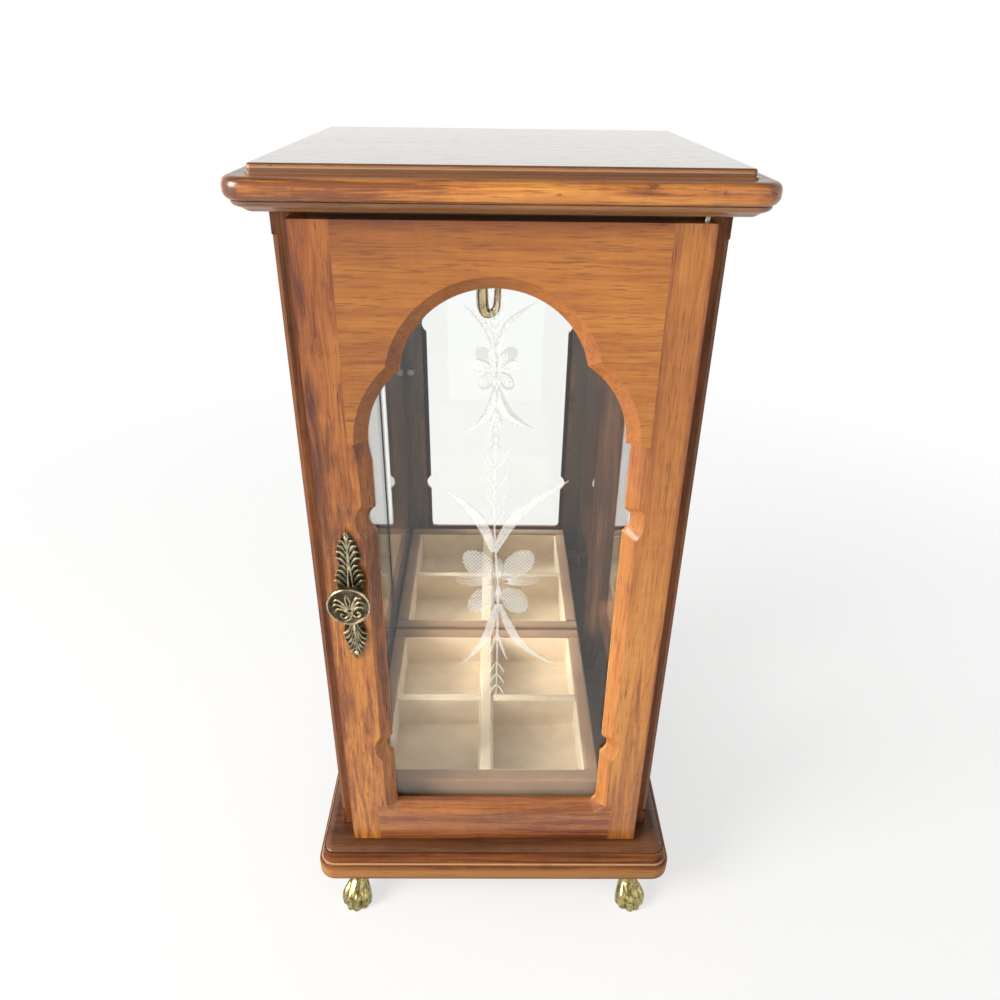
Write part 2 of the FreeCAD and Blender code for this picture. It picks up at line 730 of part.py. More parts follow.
def lid():
    """A board with a rounded lower edge, a round-edged slab and a raised panel, screwed on."""
    under_half = "(lid_half - under_setback)"
    under = profiled_board((f"-{under_half}", under_half),
                           ("lid_y0 + under_setback", "lid_y1 - under_setback"),
                           ("body_top", "slab_bottom"), "slab_corner - under_setback", lower="under_round")
    pivot_hole = rod(("pivot_x", "pivot_y", "body_top - cut_over"), "pivot_radius",
                     "pivot_in_frame + cut_over")
    keep("lid_under_board", cut(under, pivot_hole, *lid_screw_holes))
    slab = profiled_board(("-lid_half", "lid_half"), ("lid_y0", "lid_y1"), ("slab_bottom", "slab_top"),
                          "slab_corner", lower="slab_round", upper="slab_round")
    keep("lid_slab", cut(slab, *lid_screw_holes))
    keep("lid_raised_panel", profiled_board(
        ("panel_inset - lid_half", "lid_half - panel_inset"),
        ("lid_y0 + panel_inset_front", "lid_y1 - panel_inset"),
        ("slab_top", "slab_top + panel_height"), "panel_corner", upper="panel_round"))


def pivots():
    """Steel pins at the door's right edge; the lower one has a collar that carries the door."""
    free = "pivot_in_door - pivot_end_gap"
    lower = turned([("0", "-pivot_in_frame"), ("pivot_radius", "-pivot_in_frame"), ("pivot_radius", "0"),
                    ("pivot_collar_radius", "0"),
                    ("pivot_collar_radius", "door_bottom_gap - pivot_clearance"),
                    ("pivot_radius", "door_bottom_gap - pivot_clearance"),
                    ("pivot_radius", f"door_bottom_gap + {free}"), ("0", f"door_bottom_gap + {free}")])
    keep("pivot_pin_lower", place(lower, "pivot_x", "pivot_y", "base_top"))
    keep("pivot_pin_upper", rod(("pivot_x", "pivot_y", f"door_top - ({free})"), "pivot_radius",
                                f"{free} + door_top_gap + pivot_in_frame"))


def lobe_cutter(x, z, radius):
    """One round lobe of the door's window: a bevel at the front, then straight through."""
    slope = "bevel_width / bevel_depth"
    start = "door_front - cut_over"
    bevel = taper((x, start, z), f"{radius} + {slope} * cut_over", f"{radius} - bevel_width",
                  "bevel_depth + cut_over", "y")
    through = rod((x, start, z), f"{radius} - bevel_width", "door_thickness + 2 * cut_over", "y")
    return [bevel, through]


def window_cutter():
    """The door's whole opening: three lobes above, a bevelled field, four notches, and the rebate."""
    slope = "bevel_width / bevel_depth * cut_over"
    parts = lobe_cutter("arch_shift", "rail_line + arch_rise", "arch_radius")
    for sign in (-1, 1):
        parts += lobe_cutter(f"lobe_shift + {sign} * (lobe_reach - lobe_radius)", "rail_line", "lobe_radius")
    corner_z = "window_bottom + window_corner"
    parts += lobe_cutter("window_left + window_corner", corner_z, "window_corner")
    parts += lobe_cutter("window_right - window_corner", corner_z, "window_corner")
    for x in ("notch_left", "notch_right"):
        for height in ("notch_low", "notch_high"):
            parts += lobe_cutter(x, f"door_bottom + {height}", "notch_radius + bevel_width")
    field = doc.addObject("Part::Wedge", "Field")
    bind(field, Xmin=f"window_left - {slope}", Xmax=f"window_right + {slope}",
         X2min="window_left + bevel_width", X2max="window_right - bevel_width",
         Ymin="0", Ymax="bevel_depth + cut_over", Zmin=corner_z, Zmax="rail_line", Z2min=corner_z,
         Z2max="rail_line")
    place(field, "0", "door_front - cut_over", "0")
    foot = doc.addObject("Part::Wedge", "Foot")
    bind(foot, Xmin="window_left + window_corner", Xmax="window_right - window_corner",
         X2min="window_left + window_corner", X2max="window_right - window_corner",
         Ymin="0", Ymax="bevel_depth + cut_over", Zmin=f"window_bottom - {slope}", Zmax="rail_line",
         Z2min="window_bottom + bevel_width", Z2max="rail_line")
    place(foot, "0", "door_front - cut_over", "0")
    through_y = ("door_front - cut_over", "door_back + cut_over")
    parts += [field, foot,
              block(("window_left + bevel_width", "window_right - bevel_width"), through_y,
                    (corner_z, "rail_line")),
              block(("window_left + window_corner", "window_right - window_corner"), through_y,
                    ("window_bottom + bevel_width", "rail_line")),
              block(("rebate_left", "rebate_right"), ("glass_front", "door_back + cut_over"),
                    ("rebate_bottom", "rebate_top"))]
    return joined(*parts)


def door():
    """Two stiles, a tall arched top rail and a bottom rail round one pane of glass."""
    window = window_cutter()
    pivot_radius = "pivot_radius + pivot_clearance"
    pivot_holes = [rod(("pivot_x", "pivot_y", "door_bottom - cut_over"), pivot_radius,
                       "pivot_in_door + cut_over"),
                   rod(("pivot_x", "pivot_y", "door_top - pivot_in_door"), pivot_radius,
                       "pivot_in_door + cut_over")]
    knob_hole = rod(("knob_x", "door_front - cut_over", "knob_z"), "knob_screw_radius + screw_clearance",
                    "door_thickness + 2 * cut_over", "y")
    strike_seat = rod(("strike_x", "door_back - strike_thickness", "base_top + catch_height"),
                      "magnet_radius + screw_clearance", "strike_thickness + cut_over", "y")
    plate_holes = [rod(("knob_x", "door_front - cut_over", z), "plate_pin_radius + screw_clearance",
                       "cut_over + plate_pin_length - plate_thickness + screw_clearance", "y")
                   for z in plate_pin_heights()]
    for side, sign in (("left", -1), ("right", 1)):
        corners = [(f"{sign} * door_half", "door_bottom"),
                   (f"{sign} * (door_half - stile_foot)", "door_bottom"),
                   (f"{sign} * (door_half - stile_foot)", "sill_line"),
                   (f"{sign} * (door_half - stile_width)", "sill_line"),
                   (f"{sign} * (door_half - stile_width)", "rail_line"),
                   (f"{sign} * (door_half - stile_neck)", "rail_line"),
                   (f"{sign} * (door_half - stile_neck)", "door_top"), (f"{sign} * door_half", "door_top")]
        stile = place(padded("XZ_Plane", corners, "door_thickness"), "0", "door_back", "0")
        tools = [knob_hole, strike_seat, *plate_holes] if sign < 0 else pivot_holes
        keep(f"door_{side}_stile", cut(stile, window, *tools))
    across = ("door_front", "door_back")
    top = block(("stile_neck - door_half", "door_half - stile_neck"), across, ("rail_line", "door_top"))
    keep("door_top_rail", cut(top, window))
    bottom = block(("stile_foot - door_half", "door_half - stile_foot"), across, ("door_bottom", "sill_line"))
    keep("door_bottom_rail", cut(bottom, window))
    pane_y = ("glass_front", "glass_front + glass_thickness")
    keep("door_glass", block(("rebate_left", "rebate_right"), pane_y, ("rebate_bottom", "rebate_top")))
    bead_y = ("glass_front + glass_thickness", "door_back")
    keep("door_glass_beads", cut(
        block(("rebate_left", "rebate_right"), bead_y, ("rebate_bottom", "rebate_top")),
        block(("rebate_left + bead_width", "rebate_right - bead_width"),
              ("glass_front", "door_back + cut_over"),
              ("rebate_bottom + bead_width", "rebate_top - bead_width"))))
    keep("strike_plate", rod(("strike_x", "door_back - strike_thickness", "base_top + catch_height"),
                             "magnet_radius", "strike_thickness", "y"))


def plate_pin_heights():
    return ("knob_z + plate_above - plate_pin_inset", "knob_z - plate_below + plate_pin_inset")


def knob():
    """A dished round knob on a leaf-shaped backplate, held by a screw from behind."""
    lobes = [("0", "-plate_below"), ("plate_low_half", "-plate_low_at"),
             ("plate_waist_half", "-plate_waist_at"), ("plate_middle_half", "plate_middle_at"),
             ("plate_neck_half", "plate_neck_at"), ("plate_high_half", "plate_high_at"),
             ("0", "plate_above")]
    corners = lobes + [(f"-{u}", v) for u, v in reversed(lobes[1:-1])]
    tips = {side: ("plate_tip_curve", 1) for side in (0, 5, 6, 11)}
    leaf = padded("XZ_Plane", corners, "plate_thickness", arcs=tips)
    place(leaf, "knob_x", "door_front", "knob_z")
    plate_front = "door_front - plate_thickness"
    screw_hole = rod(("knob_x", "door_front - knob_stand", "knob_z"),
                     "knob_screw_radius + screw_clearance", "knob_stand + cut_over", "y")
    pin_holes = [rod(("knob_x", f"{plate_front} - cut_over", z), "plate_pin_radius + screw_clearance",
                     "plate_thickness + 2 * cut_over", "y") for z in plate_pin_heights()]
    keep("knob_backplate", cut(leaf, screw_hole, *pin_holes))
    pins = []
    for z in plate_pin_heights():
        pins.append(rod(("knob_x", plate_front, z), "plate_pin_radius", "plate_pin_length", "y"))
        pins.append(taper(("knob_x", plate_front, z), "plate_pin_head", "plate_pin_radius",
                          "plate_pin_radius", "-y"))
    keep("backplate_pins", joined(*pins))
    top = "knob_stand - plate_thickness"
    edge = f"{top} - knob_rim"
    profile = turned([("0", "0"), ("knob_foot", "0"), ("knob_foot", "knob_foot_height"),
                      ("knob_neck", "knob_foot_height + knob_bead"), ("knob_neck", f"{edge} - 2 * knob_bead"),
                      ("knob_radius - knob_bead", edge), ("knob_radius", f"{edge} + knob_bead"),
                      ("knob_radius", f"{top} - knob_bead / 2"), ("knob_radius - knob_bead / 2", top),
                      ("knob_radius - knob_bead", top),
                      ("knob_radius - 2 * knob_bead", f"{top} - knob_dish"), ("0", f"{top} - knob_dish / 2")])
    place(profile, "knob_x", plate_front, "knob_z", "-y")
    bite = rod(("knob_x", f"{plate_front} - knob_screw_bite - screw_clearance", "knob_z"),
               "knob_screw_radius + screw_clearance", "knob_screw_bite + cut_over", "y")
    keep("knob", cut(profile, bite))
    head = taper(("knob_x", "door_back + knob_screw_head_height", "knob_z"), "knob_screw_head * 0.7",
                 "knob_screw_head", "knob_screw_head_height", "-y")
    shank = rod(("knob_x", f"{plate_front} - knob_screw_bite", "knob_z"), "knob_screw_radius",
                "knob_screw_bite + plate_thickness + door_thickness", "y")
    keep("knob_screw", joined(head, shank))


def tray():
    """A loose tray of four strips, a bottom, a long divider and two cross dividers, lined with felt."""
    high = ("floor_top", "tray_top")
    across = ("tray_left", "tray_right")
    between = ("cell_front", "cell_back")
    keep("tray_front", block(across, ("tray_front", "cell_front"), high))
    keep("tray_back", block(across, ("cell_back", "tray_back"), high))
    keep("tray_side_left", block(("tray_left", "cell_left"), between, high))
    keep("tray_side_right", block(("cell_right", "tray_right"), between, high))
    keep("tray_bottom", block(("cell_left", "cell_right"), between, ("floor_top", "floor_top + tray_floor")))
    on_floor = "floor_top + tray_floor"
    keep("tray_long_divider", block(("divider_left", "divider_right"), between, (on_floor, "tray_top")))
    cells = {"left": ("cell_left", "divider_left"), "right": ("divider_right", "cell_right")}
    rows = {"front": ("cell_front", "cross_front"), "rear": ("cross_back", "cell_back")}
    for side, (x0, x1) in cells.items():
        keep(f"tray_cross_divider_{side}", block((x0, x1), ("cross_front", "cross_back"),
                                                 (on_floor, "tray_top - cross_divider_drop")))
        for row, (y0, y1) in rows.items():
            felt_top = "tray_top - cross_divider_drop"
            outside = block((x0, x1), (y0, y1), (on_floor, felt_top))
            hollow = block((f"{x0} + lining", f"{x1} - lining"), (f"{y0} + lining", f"{y1} - lining"),
                           (f"{on_floor} + lining", f"{felt_top} + cut_over"))
            keep(f"lining_{row}_{side}", cut(outside, hollow))


base()
feet()
side_frames()
pane_clips()
back()
inside()
lid()
pivots()
door()
knob()
tray()
doc.recompute()

# Every object is sound, and every piece is made of closed solids, before anything is written
for thing in doc.Objects:
    if "Invalid" in thing.State or "Error" in thing.State:
        raise RuntimeError(f"{thing.Label} failed: {thing.State}")
for node, thing in pieces.items():
    shape = thing.Shape
    if shape.isNull() or not shape.isValid() or not shape.Solids:
        raise RuntimeError(f"{node} has no sound solid")
os.makedirs("parts", exist_ok=True)
for node, thing in pieces.items():
    thing.Shape.exportStep(f"parts/{node}.step")
print(len(pieces), "pieces written")
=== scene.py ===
import logging
import math
from contextlib import contextmanager
from dataclasses import dataclass, field
from enum import Enum
from typing import Callable, Iterator, Optional, Sequence

import bmesh
import bpy
from mathutils import Matrix, Vector


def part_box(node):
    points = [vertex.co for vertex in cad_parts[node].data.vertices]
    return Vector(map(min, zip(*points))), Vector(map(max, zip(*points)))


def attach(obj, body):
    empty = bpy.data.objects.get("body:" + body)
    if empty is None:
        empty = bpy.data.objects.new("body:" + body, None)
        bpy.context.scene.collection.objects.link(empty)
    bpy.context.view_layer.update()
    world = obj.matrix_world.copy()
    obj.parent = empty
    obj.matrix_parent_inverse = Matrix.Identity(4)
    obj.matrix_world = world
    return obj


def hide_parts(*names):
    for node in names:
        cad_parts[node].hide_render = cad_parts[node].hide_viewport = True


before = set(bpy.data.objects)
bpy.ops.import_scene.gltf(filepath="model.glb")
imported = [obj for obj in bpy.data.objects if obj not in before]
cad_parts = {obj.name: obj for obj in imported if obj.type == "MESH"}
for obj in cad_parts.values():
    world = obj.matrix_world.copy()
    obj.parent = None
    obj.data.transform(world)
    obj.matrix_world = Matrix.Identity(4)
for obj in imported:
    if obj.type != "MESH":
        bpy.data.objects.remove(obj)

LOG = logging.getLogger("jewelry_chest")
MM = 0.001
Pair = tuple[float, float]
Triple = tuple[float, float, float]
Colour = tuple[float, float, float]
Stroke = tuple[list[Triple], list[float]]


class Body(Enum):
    """The moving bodies of the chest."""

    CABINET = "cabinet"
    DOOR = "door"
    TRAY = "tray"


class Grain(Enum):
    """The way that a board's grain runs, as the turn that brings it to X."""

    ACROSS = (0.0, 0.0, 0.0)
    FRONT_TO_BACK = (0.0, 0.0, -90.0)
    UPRIGHT = (0.0, 90.0, 0.0)


def srgb(red: int, green: int, blue: int) -> Colour:
    """Turns a colour as seen on a screen into the light that it stands for.

    Args:
        red: Red, from 0 to 255.
        green: Green, from 0 to 255.
        blue: Blue, from 0 to 255.

    Returns:
        The three shares as linear light.
    """
    def one(level: int) -> float:
        share = level / 255
        return share / 12.92 if share <= 0.04045 else ((share + 0.055) / 1.055) ** 2.4
    return one(red), one(green), one(blue)


# --- Workbench: selecting, shaping and finishing a mesh ---------------------------------


def put_down() -> None:
    """Leaves nothing selected."""
    if bpy.context.object and bpy.context.object.mode != "OBJECT":
        bpy.ops.object.mode_set(mode="OBJECT")
    bpy.ops.object.select_all(action="DESELECT")


def pick(*pieces: bpy.types.Object) -> bpy.types.Object:
    """Selects these pieces alone and makes the first one active.

    Args:
        *pieces: The pieces to pick up.

    Returns:
        The first piece.
    """
    put_down()
    for piece in pieces:
        piece.select_set(True)
    bpy.context.view_layer.objects.active = pieces[0]
    return pieces[0]


@contextmanager
def shaping(piece: bpy.types.Object) -> Iterator[None]:
    """Opens a piece for work on its mesh.

    Args:
        piece: The piece to work on.

    Yields:
        Nothing; the piece is in edit mode until the block ends.
    """
    pick(piece)
    bpy.ops.object.mode_set(mode="EDIT")
    bpy.ops.mesh.select_mode(type="VERT")
    bpy.ops.mesh.select_all(action="SELECT")
    try:
        yield
    finally:
        bpy.ops.object.mode_set(mode="OBJECT")


def choose_faces(piece: bpy.types.Object, test: Callable[[Vector, Vector], bool]) -> int:
    """Selects the faces that pass a test of their middle and normal, in edit mode.

    Args:
        piece: The piece that is open.
        test: Takes a face's middle in millimetres and its normal.

    Returns:
        How many faces are selected.
    """
    bpy.ops.mesh.select_mode(type="FACE")
    bpy.ops.mesh.select_all(action="DESELECT")
    mesh = bmesh.from_edit_mesh(piece.data)
    count = 0
    for face in mesh.faces:
        if test(face.calc_center_median() / MM, face.normal):
            face.select_set(True)
            count += 1
    bmesh.update_edit_mesh(piece.data)
    return count


def choose_edges(piece: bpy.types.Object, test: Callable[[bmesh.types.BMEdge], bool]) -> int:
    """Selects the edges that pass a test, in edit mode.

    Args:
        piece: The piece that is open.
        test: Takes an edge.

    Returns:
        How many edges are selected.
    """
    bpy.ops.mesh.select_mode(type="EDGE")
    bpy.ops.mesh.select_all(action="DESELECT")
    mesh = bmesh.from_edit_mesh(piece.data)
    count = 0
    for edge in mesh.edges:
        if test(edge):
            edge.select_set(True)
            count += 1
    bmesh.update_edit_mesh(piece.data)
    return count


def close_up(piece: bpy.types.Object) -> None:
    """Joins the doubled points of a mesh and turns its faces outwards.

    Args:
        piece: The piece to clean.
    """
    with shaping(piece):
        bpy.ops.mesh.remove_doubles(threshold=2e-6)
        bpy.ops.mesh.select_all(action="SELECT")
        bpy.ops.mesh.normals_make_consistent(inside=False)


def settle(piece: bpy.types.Object) -> None:
    """Puts a piece's place into its mesh, and its object at the origin.

    Args:
        piece: The piece to settle.
    """
    pick(piece)
    bpy.ops.object.transform_apply(location=True, rotation=True, scale=True)


def smooth(piece: bpy.types.Object, degrees: float = 38.0) -> None:
    """Shades the faces smooth, apart from edges sharper than an angle.

    Args:
        piece: The piece to shade.
        degrees: The sharpest edge that is still smoothed.
    """
    pick(piece)
    bpy.ops.object.shade_smooth_by_angle(angle=math.radians(degrees))


def use(piece: bpy.types.Object, kind: str, **settings: object) -> None:
    """Adds a modifier to a piece and applies it at once.

    Args:
        piece: The piece to change.
        kind: The modifier's type.
        **settings: The modifier's own settings.
    """
    pick(piece)
    modifier = piece.modifiers.new(kind.title(), kind)
    for name, setting in settings.items():
        setattr(modifier, name, setting)
    bpy.ops.object.modifier_apply(modifier=modifier.name)


def joined(name: str, *pieces: bpy.types.Object) -> bpy.types.Object:
    """Makes one piece of several.

    Args:
        name: The name of the new piece.
        *pieces: The pieces to join.

    Returns:
        The one piece.
    """
    whole = pick(*pieces)
    if len(pieces) > 1:
        bpy.ops.object.join()
    whole.name = name
    return whole


def twin(piece: bpy.types.Object, name: str) -> bpy.types.Object:
    """Copies a piece with a mesh of its own.

    Args:
        piece: The piece to copy.
        name: The copy's name.

    Returns:
        The copy.
    """
    copy = bpy.data.objects.new(name, piece.data.copy())
    bpy.context.scene.collection.objects.link(copy)
    return copy


def last_made(name: str) -> bpy.types.Object:
    """Names the primitive that has just been added and returns it."""
    piece = bpy.context.object
    piece.name = name
    return piece


def block(name: str, low: Triple, high: Triple, round_over: float = 0.0, steps: int = 3) -> bpy.types.Object:
    """A board between two corners, with its edges rounded over.

    Args:
        name: The piece's name.
        low: Its lowest corner, in millimetres.
        high: Its highest corner, in millimetres.
        round_over: The radius of its edges.
        steps: The facets of each rounding.

    Returns:
        The board.
    """
    a, b = Vector(low) * MM, Vector(high) * MM
    put_down()
    bpy.ops.mesh.primitive_cube_add(size=1, location=(a + b) / 2)
    piece = last_made(name)
    piece.scale = b - a
    settle(piece)
    if round_over:
        with shaping(piece):
            bpy.ops.mesh.bevel(offset=round_over * MM, segments=steps, affect="EDGES", clamp_overlap=True)
    smooth(piece)
    return piece


def moulded(name: str, low: Pair, high: Pair, corner: float, level: float,
            upward: Sequence[Pair], downward: Sequence[Pair] = (), facets: int = 9) -> bpy.types.Object:
    """A board with a moulded edge, worked up and down from its widest outline.

    Args:
        name: The piece's name.
        low: The outline's lowest x and y, in millimetres.
        high: The outline's highest x and y.
        corner: The outline's corner radius.
        level: The height of the outline.
        upward: Pairs of setback and height, from the outline to the top.
        downward: Pairs of setback and height, from the outline to the underside.
        facets: The facets of each corner.

    Returns:
        The board, closed.
    """
    halves = []
    for steps in filter(None, (upward, downward)):
        middle = ((low[0] + high[0]) / 2 * MM, (low[1] + high[1]) / 2 * MM, level * MM)
        put_down()
        bpy.ops.mesh.primitive_plane_add(size=1, location=middle)
        half = last_made(name)
        half.scale = ((high[0] - low[0]) * MM, (high[1] - low[1]) * MM, 1)
        settle(half)
        with shaping(half):
            bpy.ops.mesh.bevel(offset=corner * MM, segments=facets, affect="VERTICES")
            bpy.ops.mesh.select_mode(type="FACE")
            bpy.ops.mesh.select_all(action="SELECT")
            setback, height = 0.0, level
            for inset, z in steps:
                rise = (z - height) * MM
                if inset - setback > 1e-6:
                    bpy.ops.mesh.inset(thickness=(inset - setback) * MM, depth=rise,
                                       use_boundary=True, use_even_offset=True)
                else:
                    bpy.ops.mesh.extrude_region_move(TRANSFORM_OT_translate={"value": (0, 0, rise)})
                setback, height = inset, z
            # A narrow flat rim keeps the shading of the broad face level
            bpy.ops.mesh.inset(thickness=0.6 * MM, depth=0, use_boundary=True, use_even_offset=True)
        halves.append(half)
    piece = joined(name, *halves)
    with shaping(piece):
        bpy.ops.mesh.remove_doubles(threshold=2e-6)
        if downward:
            if choose_faces(piece, lambda at, n: abs(at.z - level) < 1e-3 and abs(n.z) > 0.999):
                bpy.ops.mesh.delete(type="ONLY_FACE")
        elif choose_edges(piece, lambda edge: edge.is_boundary):
            bpy.ops.mesh.edge_face_add()
        bpy.ops.mesh.select_all(action="SELECT")
        bpy.ops.mesh.normals_make_consistent(inside=False)
    smooth(piece)
    return piece


def turned(name: str, profile: Sequence[Pair], segments: int = 48) -> bpy.types.Object:
    """A round piece turned about the upright axis at the origin.

    Args:
        name: The piece's name.
        profile: Pairs of radius and height in millimetres, from the bottom up.
        segments: The facets round it.

    Returns:
        The piece, standing at the origin.
    """
    put_down()
    radius, height = profile[0]
    bpy.ops.mesh.primitive_circle_add(vertices=segments, radius=radius * MM, fill_type="NGON",
                                      location=(0, 0, height * MM))
    piece = last_made(name)
    settle(piece)
    with shaping(piece):
        bpy.ops.mesh.select_mode(type="FACE")
        bpy.ops.mesh.select_all(action="SELECT")
        for wide, z in profile[1:]:
            bpy.ops.mesh.extrude_region_move(TRANSFORM_OT_translate={"value": (0, 0, (z - height) * MM)})
            share = max(wide, 0.02) / radius
            bpy.ops.transform.resize(value=(share, share, 1), center_override=(0, 0, z * MM))
            radius, height = max(wide, 0.02), z
        bpy.ops.mesh.select_all(action="SELECT")
        bpy.ops.mesh.normals_make_consistent(inside=False)
    smooth(piece)
    return piece


def carved(name: str, strokes: Sequence[Stroke], sides: int = 3, along: int = 5) -> bpy.types.Object:
    """Round strokes that swell and taper, as a carver or a modeller lays them.

    Args:
        name: The piece's name.
        strokes: For each stroke, its points in millimetres and its radius at each.
        sides: The roundness of a stroke.
        along: The steps between two points.

    Returns:
        One mesh of closed strokes.
    """
    curve = bpy.data.curves.new(name, "CURVE")
    curve.dimensions, curve.bevel_depth = "3D", MM
    curve.bevel_resolution, curve.resolution_u, curve.use_fill_caps = sides, along, True
    for points, radii in strokes:
        line = curve.splines.new("NURBS")
        line.points.add(len(points) - 1)
        for spot, (x, y, z), radius in zip(line.points, points, radii):
            spot.co = (x * MM, y * MM, z * MM, 1)
            spot.radius = radius
        line.use_endpoint_u = True
        line.order_u = min(3, len(points))
    piece = bpy.data.objects.new(name, curve)
    bpy.context.scene.collection.objects.link(piece)
    pick(piece)
    bpy.ops.object.convert(target="MESH")
    piece = bpy.context.object
    close_up(piece)
    smooth(piece, 60)
    return piece


def flattened(piece: bpy.types.Object, share: Triple, about: Triple) -> bpy.types.Object:
    """Squeezes a mesh about a point.

    Args:
        piece: The piece to squeeze.
        share: What is left of its size on each axis.
        about: The point that stays, in millimetres.

    Returns:
        The same piece.
    """
    with shaping(piece):
        bpy.ops.transform.resize(value=share, center_override=tuple(Vector(about) * MM))
    return piece


def soft_copy(node: str, name: str, ease: float) -> bpy.types.Object:
    """Copies a board of the frame and eases its long sharp edges.

    Args:
        node: The board's node.
        name: The copy's name.
        ease: How much is taken off each edge, in millimetres.

    Returns:
        The copy.
    """
    piece = twin(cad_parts[node], name)
    with shaping(piece):
        bpy.ops.mesh.remove_doubles(threshold=2e-6)
        bpy.ops.mesh.dissolve_limited(angle_limit=math.radians(0.5))
        found = choose_edges(piece, lambda edge: edge.is_manifold and edge.is_convex
                             and edge.calc_length() > 6 * MM and edge.calc_face_angle() > math.radians(50))
        if found:
            bpy.ops.mesh.bevel(offset=ease * MM, segments=3, affect="EDGES", clamp_overlap=True)
    smooth(piece, 30)
    return piece


# --- Finishes ---------------------------------------------------------------------------


class NodeBench:
    """Lays out and joins the nodes of one material."""

    def __init__(self, name: str) -> None:
        """Starts a material of that name with an empty tree."""
        self.material = bpy.data.materials.new(name)
        self.material.use_nodes = True
        self.tree = self.material.node_tree
        self.tree.nodes.clear()
        self.output = self.tree.nodes.new("ShaderNodeOutputMaterial")

    def add(self, kind: str, settings: Optional[dict] = None, **inputs: object) -> bpy.types.Node:
        """Adds a node and fills its inputs.

        Args:
            kind: The node's type without its prefix.
            settings: The node's own settings.
            **inputs: Values or sockets by input name, with _ for a space.

        Returns:
            The node.
        """
        node = self.tree.nodes.new("ShaderNode" + kind)
        for key, setting in (settings or {}).items():
            setattr(node, key, setting)
        for key, given in inputs.items():
            socket = node.inputs[int(key[1:])] if key[0] == "i" and key[1:].isdigit() else node.inputs[key.replace("_", " ")]
            if isinstance(given, bpy.types.NodeSocket):
                self.tree.links.new(given, socket)
            else:
                socket.default_value = given
        return node

    def mapped(self, start: bpy.types.NodeSocket, scale: Triple, place: Triple = (0, 0, 0)) -> bpy.types.NodeSocket:
        """Scales and shifts coordinates.

        Args:
            start: The coordinates.
            scale: The scale on each axis.
            place: The shift, after the scale.

        Returns:
            The new coordinates.
        """
        return self.add("Mapping", Vector=start, Scale=scale, Location=place).outputs[0]

    def noise(self, start: bpy.types.NodeSocket, scale: Triple, detail: float = 2.0,
              rough: float = 0.5, twist: float = 0.0, place: Triple = (0, 0, 0)) -> bpy.types.NodeSocket:
        """Cloudy noise on scaled coordinates.

        Args:
            start: The coordinates.
            scale: How often it changes on each axis, per metre.
            detail: How many finer layers it has.
            rough: How strong these are.
            twist: How much it is distorted.
            place: The shift of its pattern.

        Returns:
            Its level, from 0 to 1.
        """
        at = self.mapped(start, scale, place)
        return self.add("TexNoise", Vector=at, Scale=1.0, Detail=detail, Roughness=rough,
                        Distortion=twist).outputs[0]

    def stepped(self, level: bpy.types.NodeSocket, low: float, high: float,
                to_low: float = 0.0, to_high: float = 1.0) -> bpy.types.NodeSocket:
        """Spreads a level between two ends.

        Args:
            level: The level.
            low: Where it starts.
            high: Where it ends.
            to_low: What it gives at the start.
            to_high: What it gives at the end.

        Returns:
            The new level, held between its ends.
        """
        return self.add("MapRange", Value=level, i1=low, i2=high, i3=to_low, i4=to_high).outputs[0]

    def maths(self, how: str, first: object, second: object = 0.0) -> bpy.types.NodeSocket:
        """Sums on two levels, named as the Math node names them."""
        return self.add("Math", {"operation": how}, i0=first, i1=second).outputs[0]

    def ramp(self, level: bpy.types.NodeSocket, stops: Sequence[tuple[float, Colour]]) -> bpy.types.NodeSocket:
        """Colours along a level.

        Args:
            level: The level.
            stops: Pairs of place and colour, in order.

        Returns:
            The colour.
        """
        node = self.add("ValToRGB", Fac=level)
        band = node.color_ramp
        while len(band.elements) < len(stops):
            band.elements.new(0.5)
        for element, (place, colour) in zip(band.elements, stops):
            element.position, element.color = place, (*colour, 1)
        return node.outputs[0]

    def blend(self, share: object, first: object, second: object, how: str = "MIX") -> bpy.types.NodeSocket:
        """Mixes two colours.

        Args:
            share: How much of the second shows.
            first: The first colour.
            second: The second colour.
            how: The way of mixing.

        Returns:
            The mixed colour.
        """
        def full(given: object) -> object:
            return (*given, 1) if isinstance(given, tuple) and len(given) == 3 else given
        node = self.add("MixRGB", {"blend_type": how}, Fac=share, Color1=full(first), Color2=full(second))
        return node.outputs[0]

    def bump(self, level: bpy.types.NodeSocket, height: float, strength: float = 1.0) -> bpy.types.NodeSocket:
        """A raised surface from a level, with its height in millimetres."""
        return self.add("Bump", Strength=strength, Distance=height * MM, Height=level).outputs[0]

    def finish(self, shader: bpy.types.Node) -> bpy.types.Material:
        """Joins the last shader to the output and returns the material."""
        self.tree.links.new(shader.outputs[0], self.output.inputs[0])
        return self.material


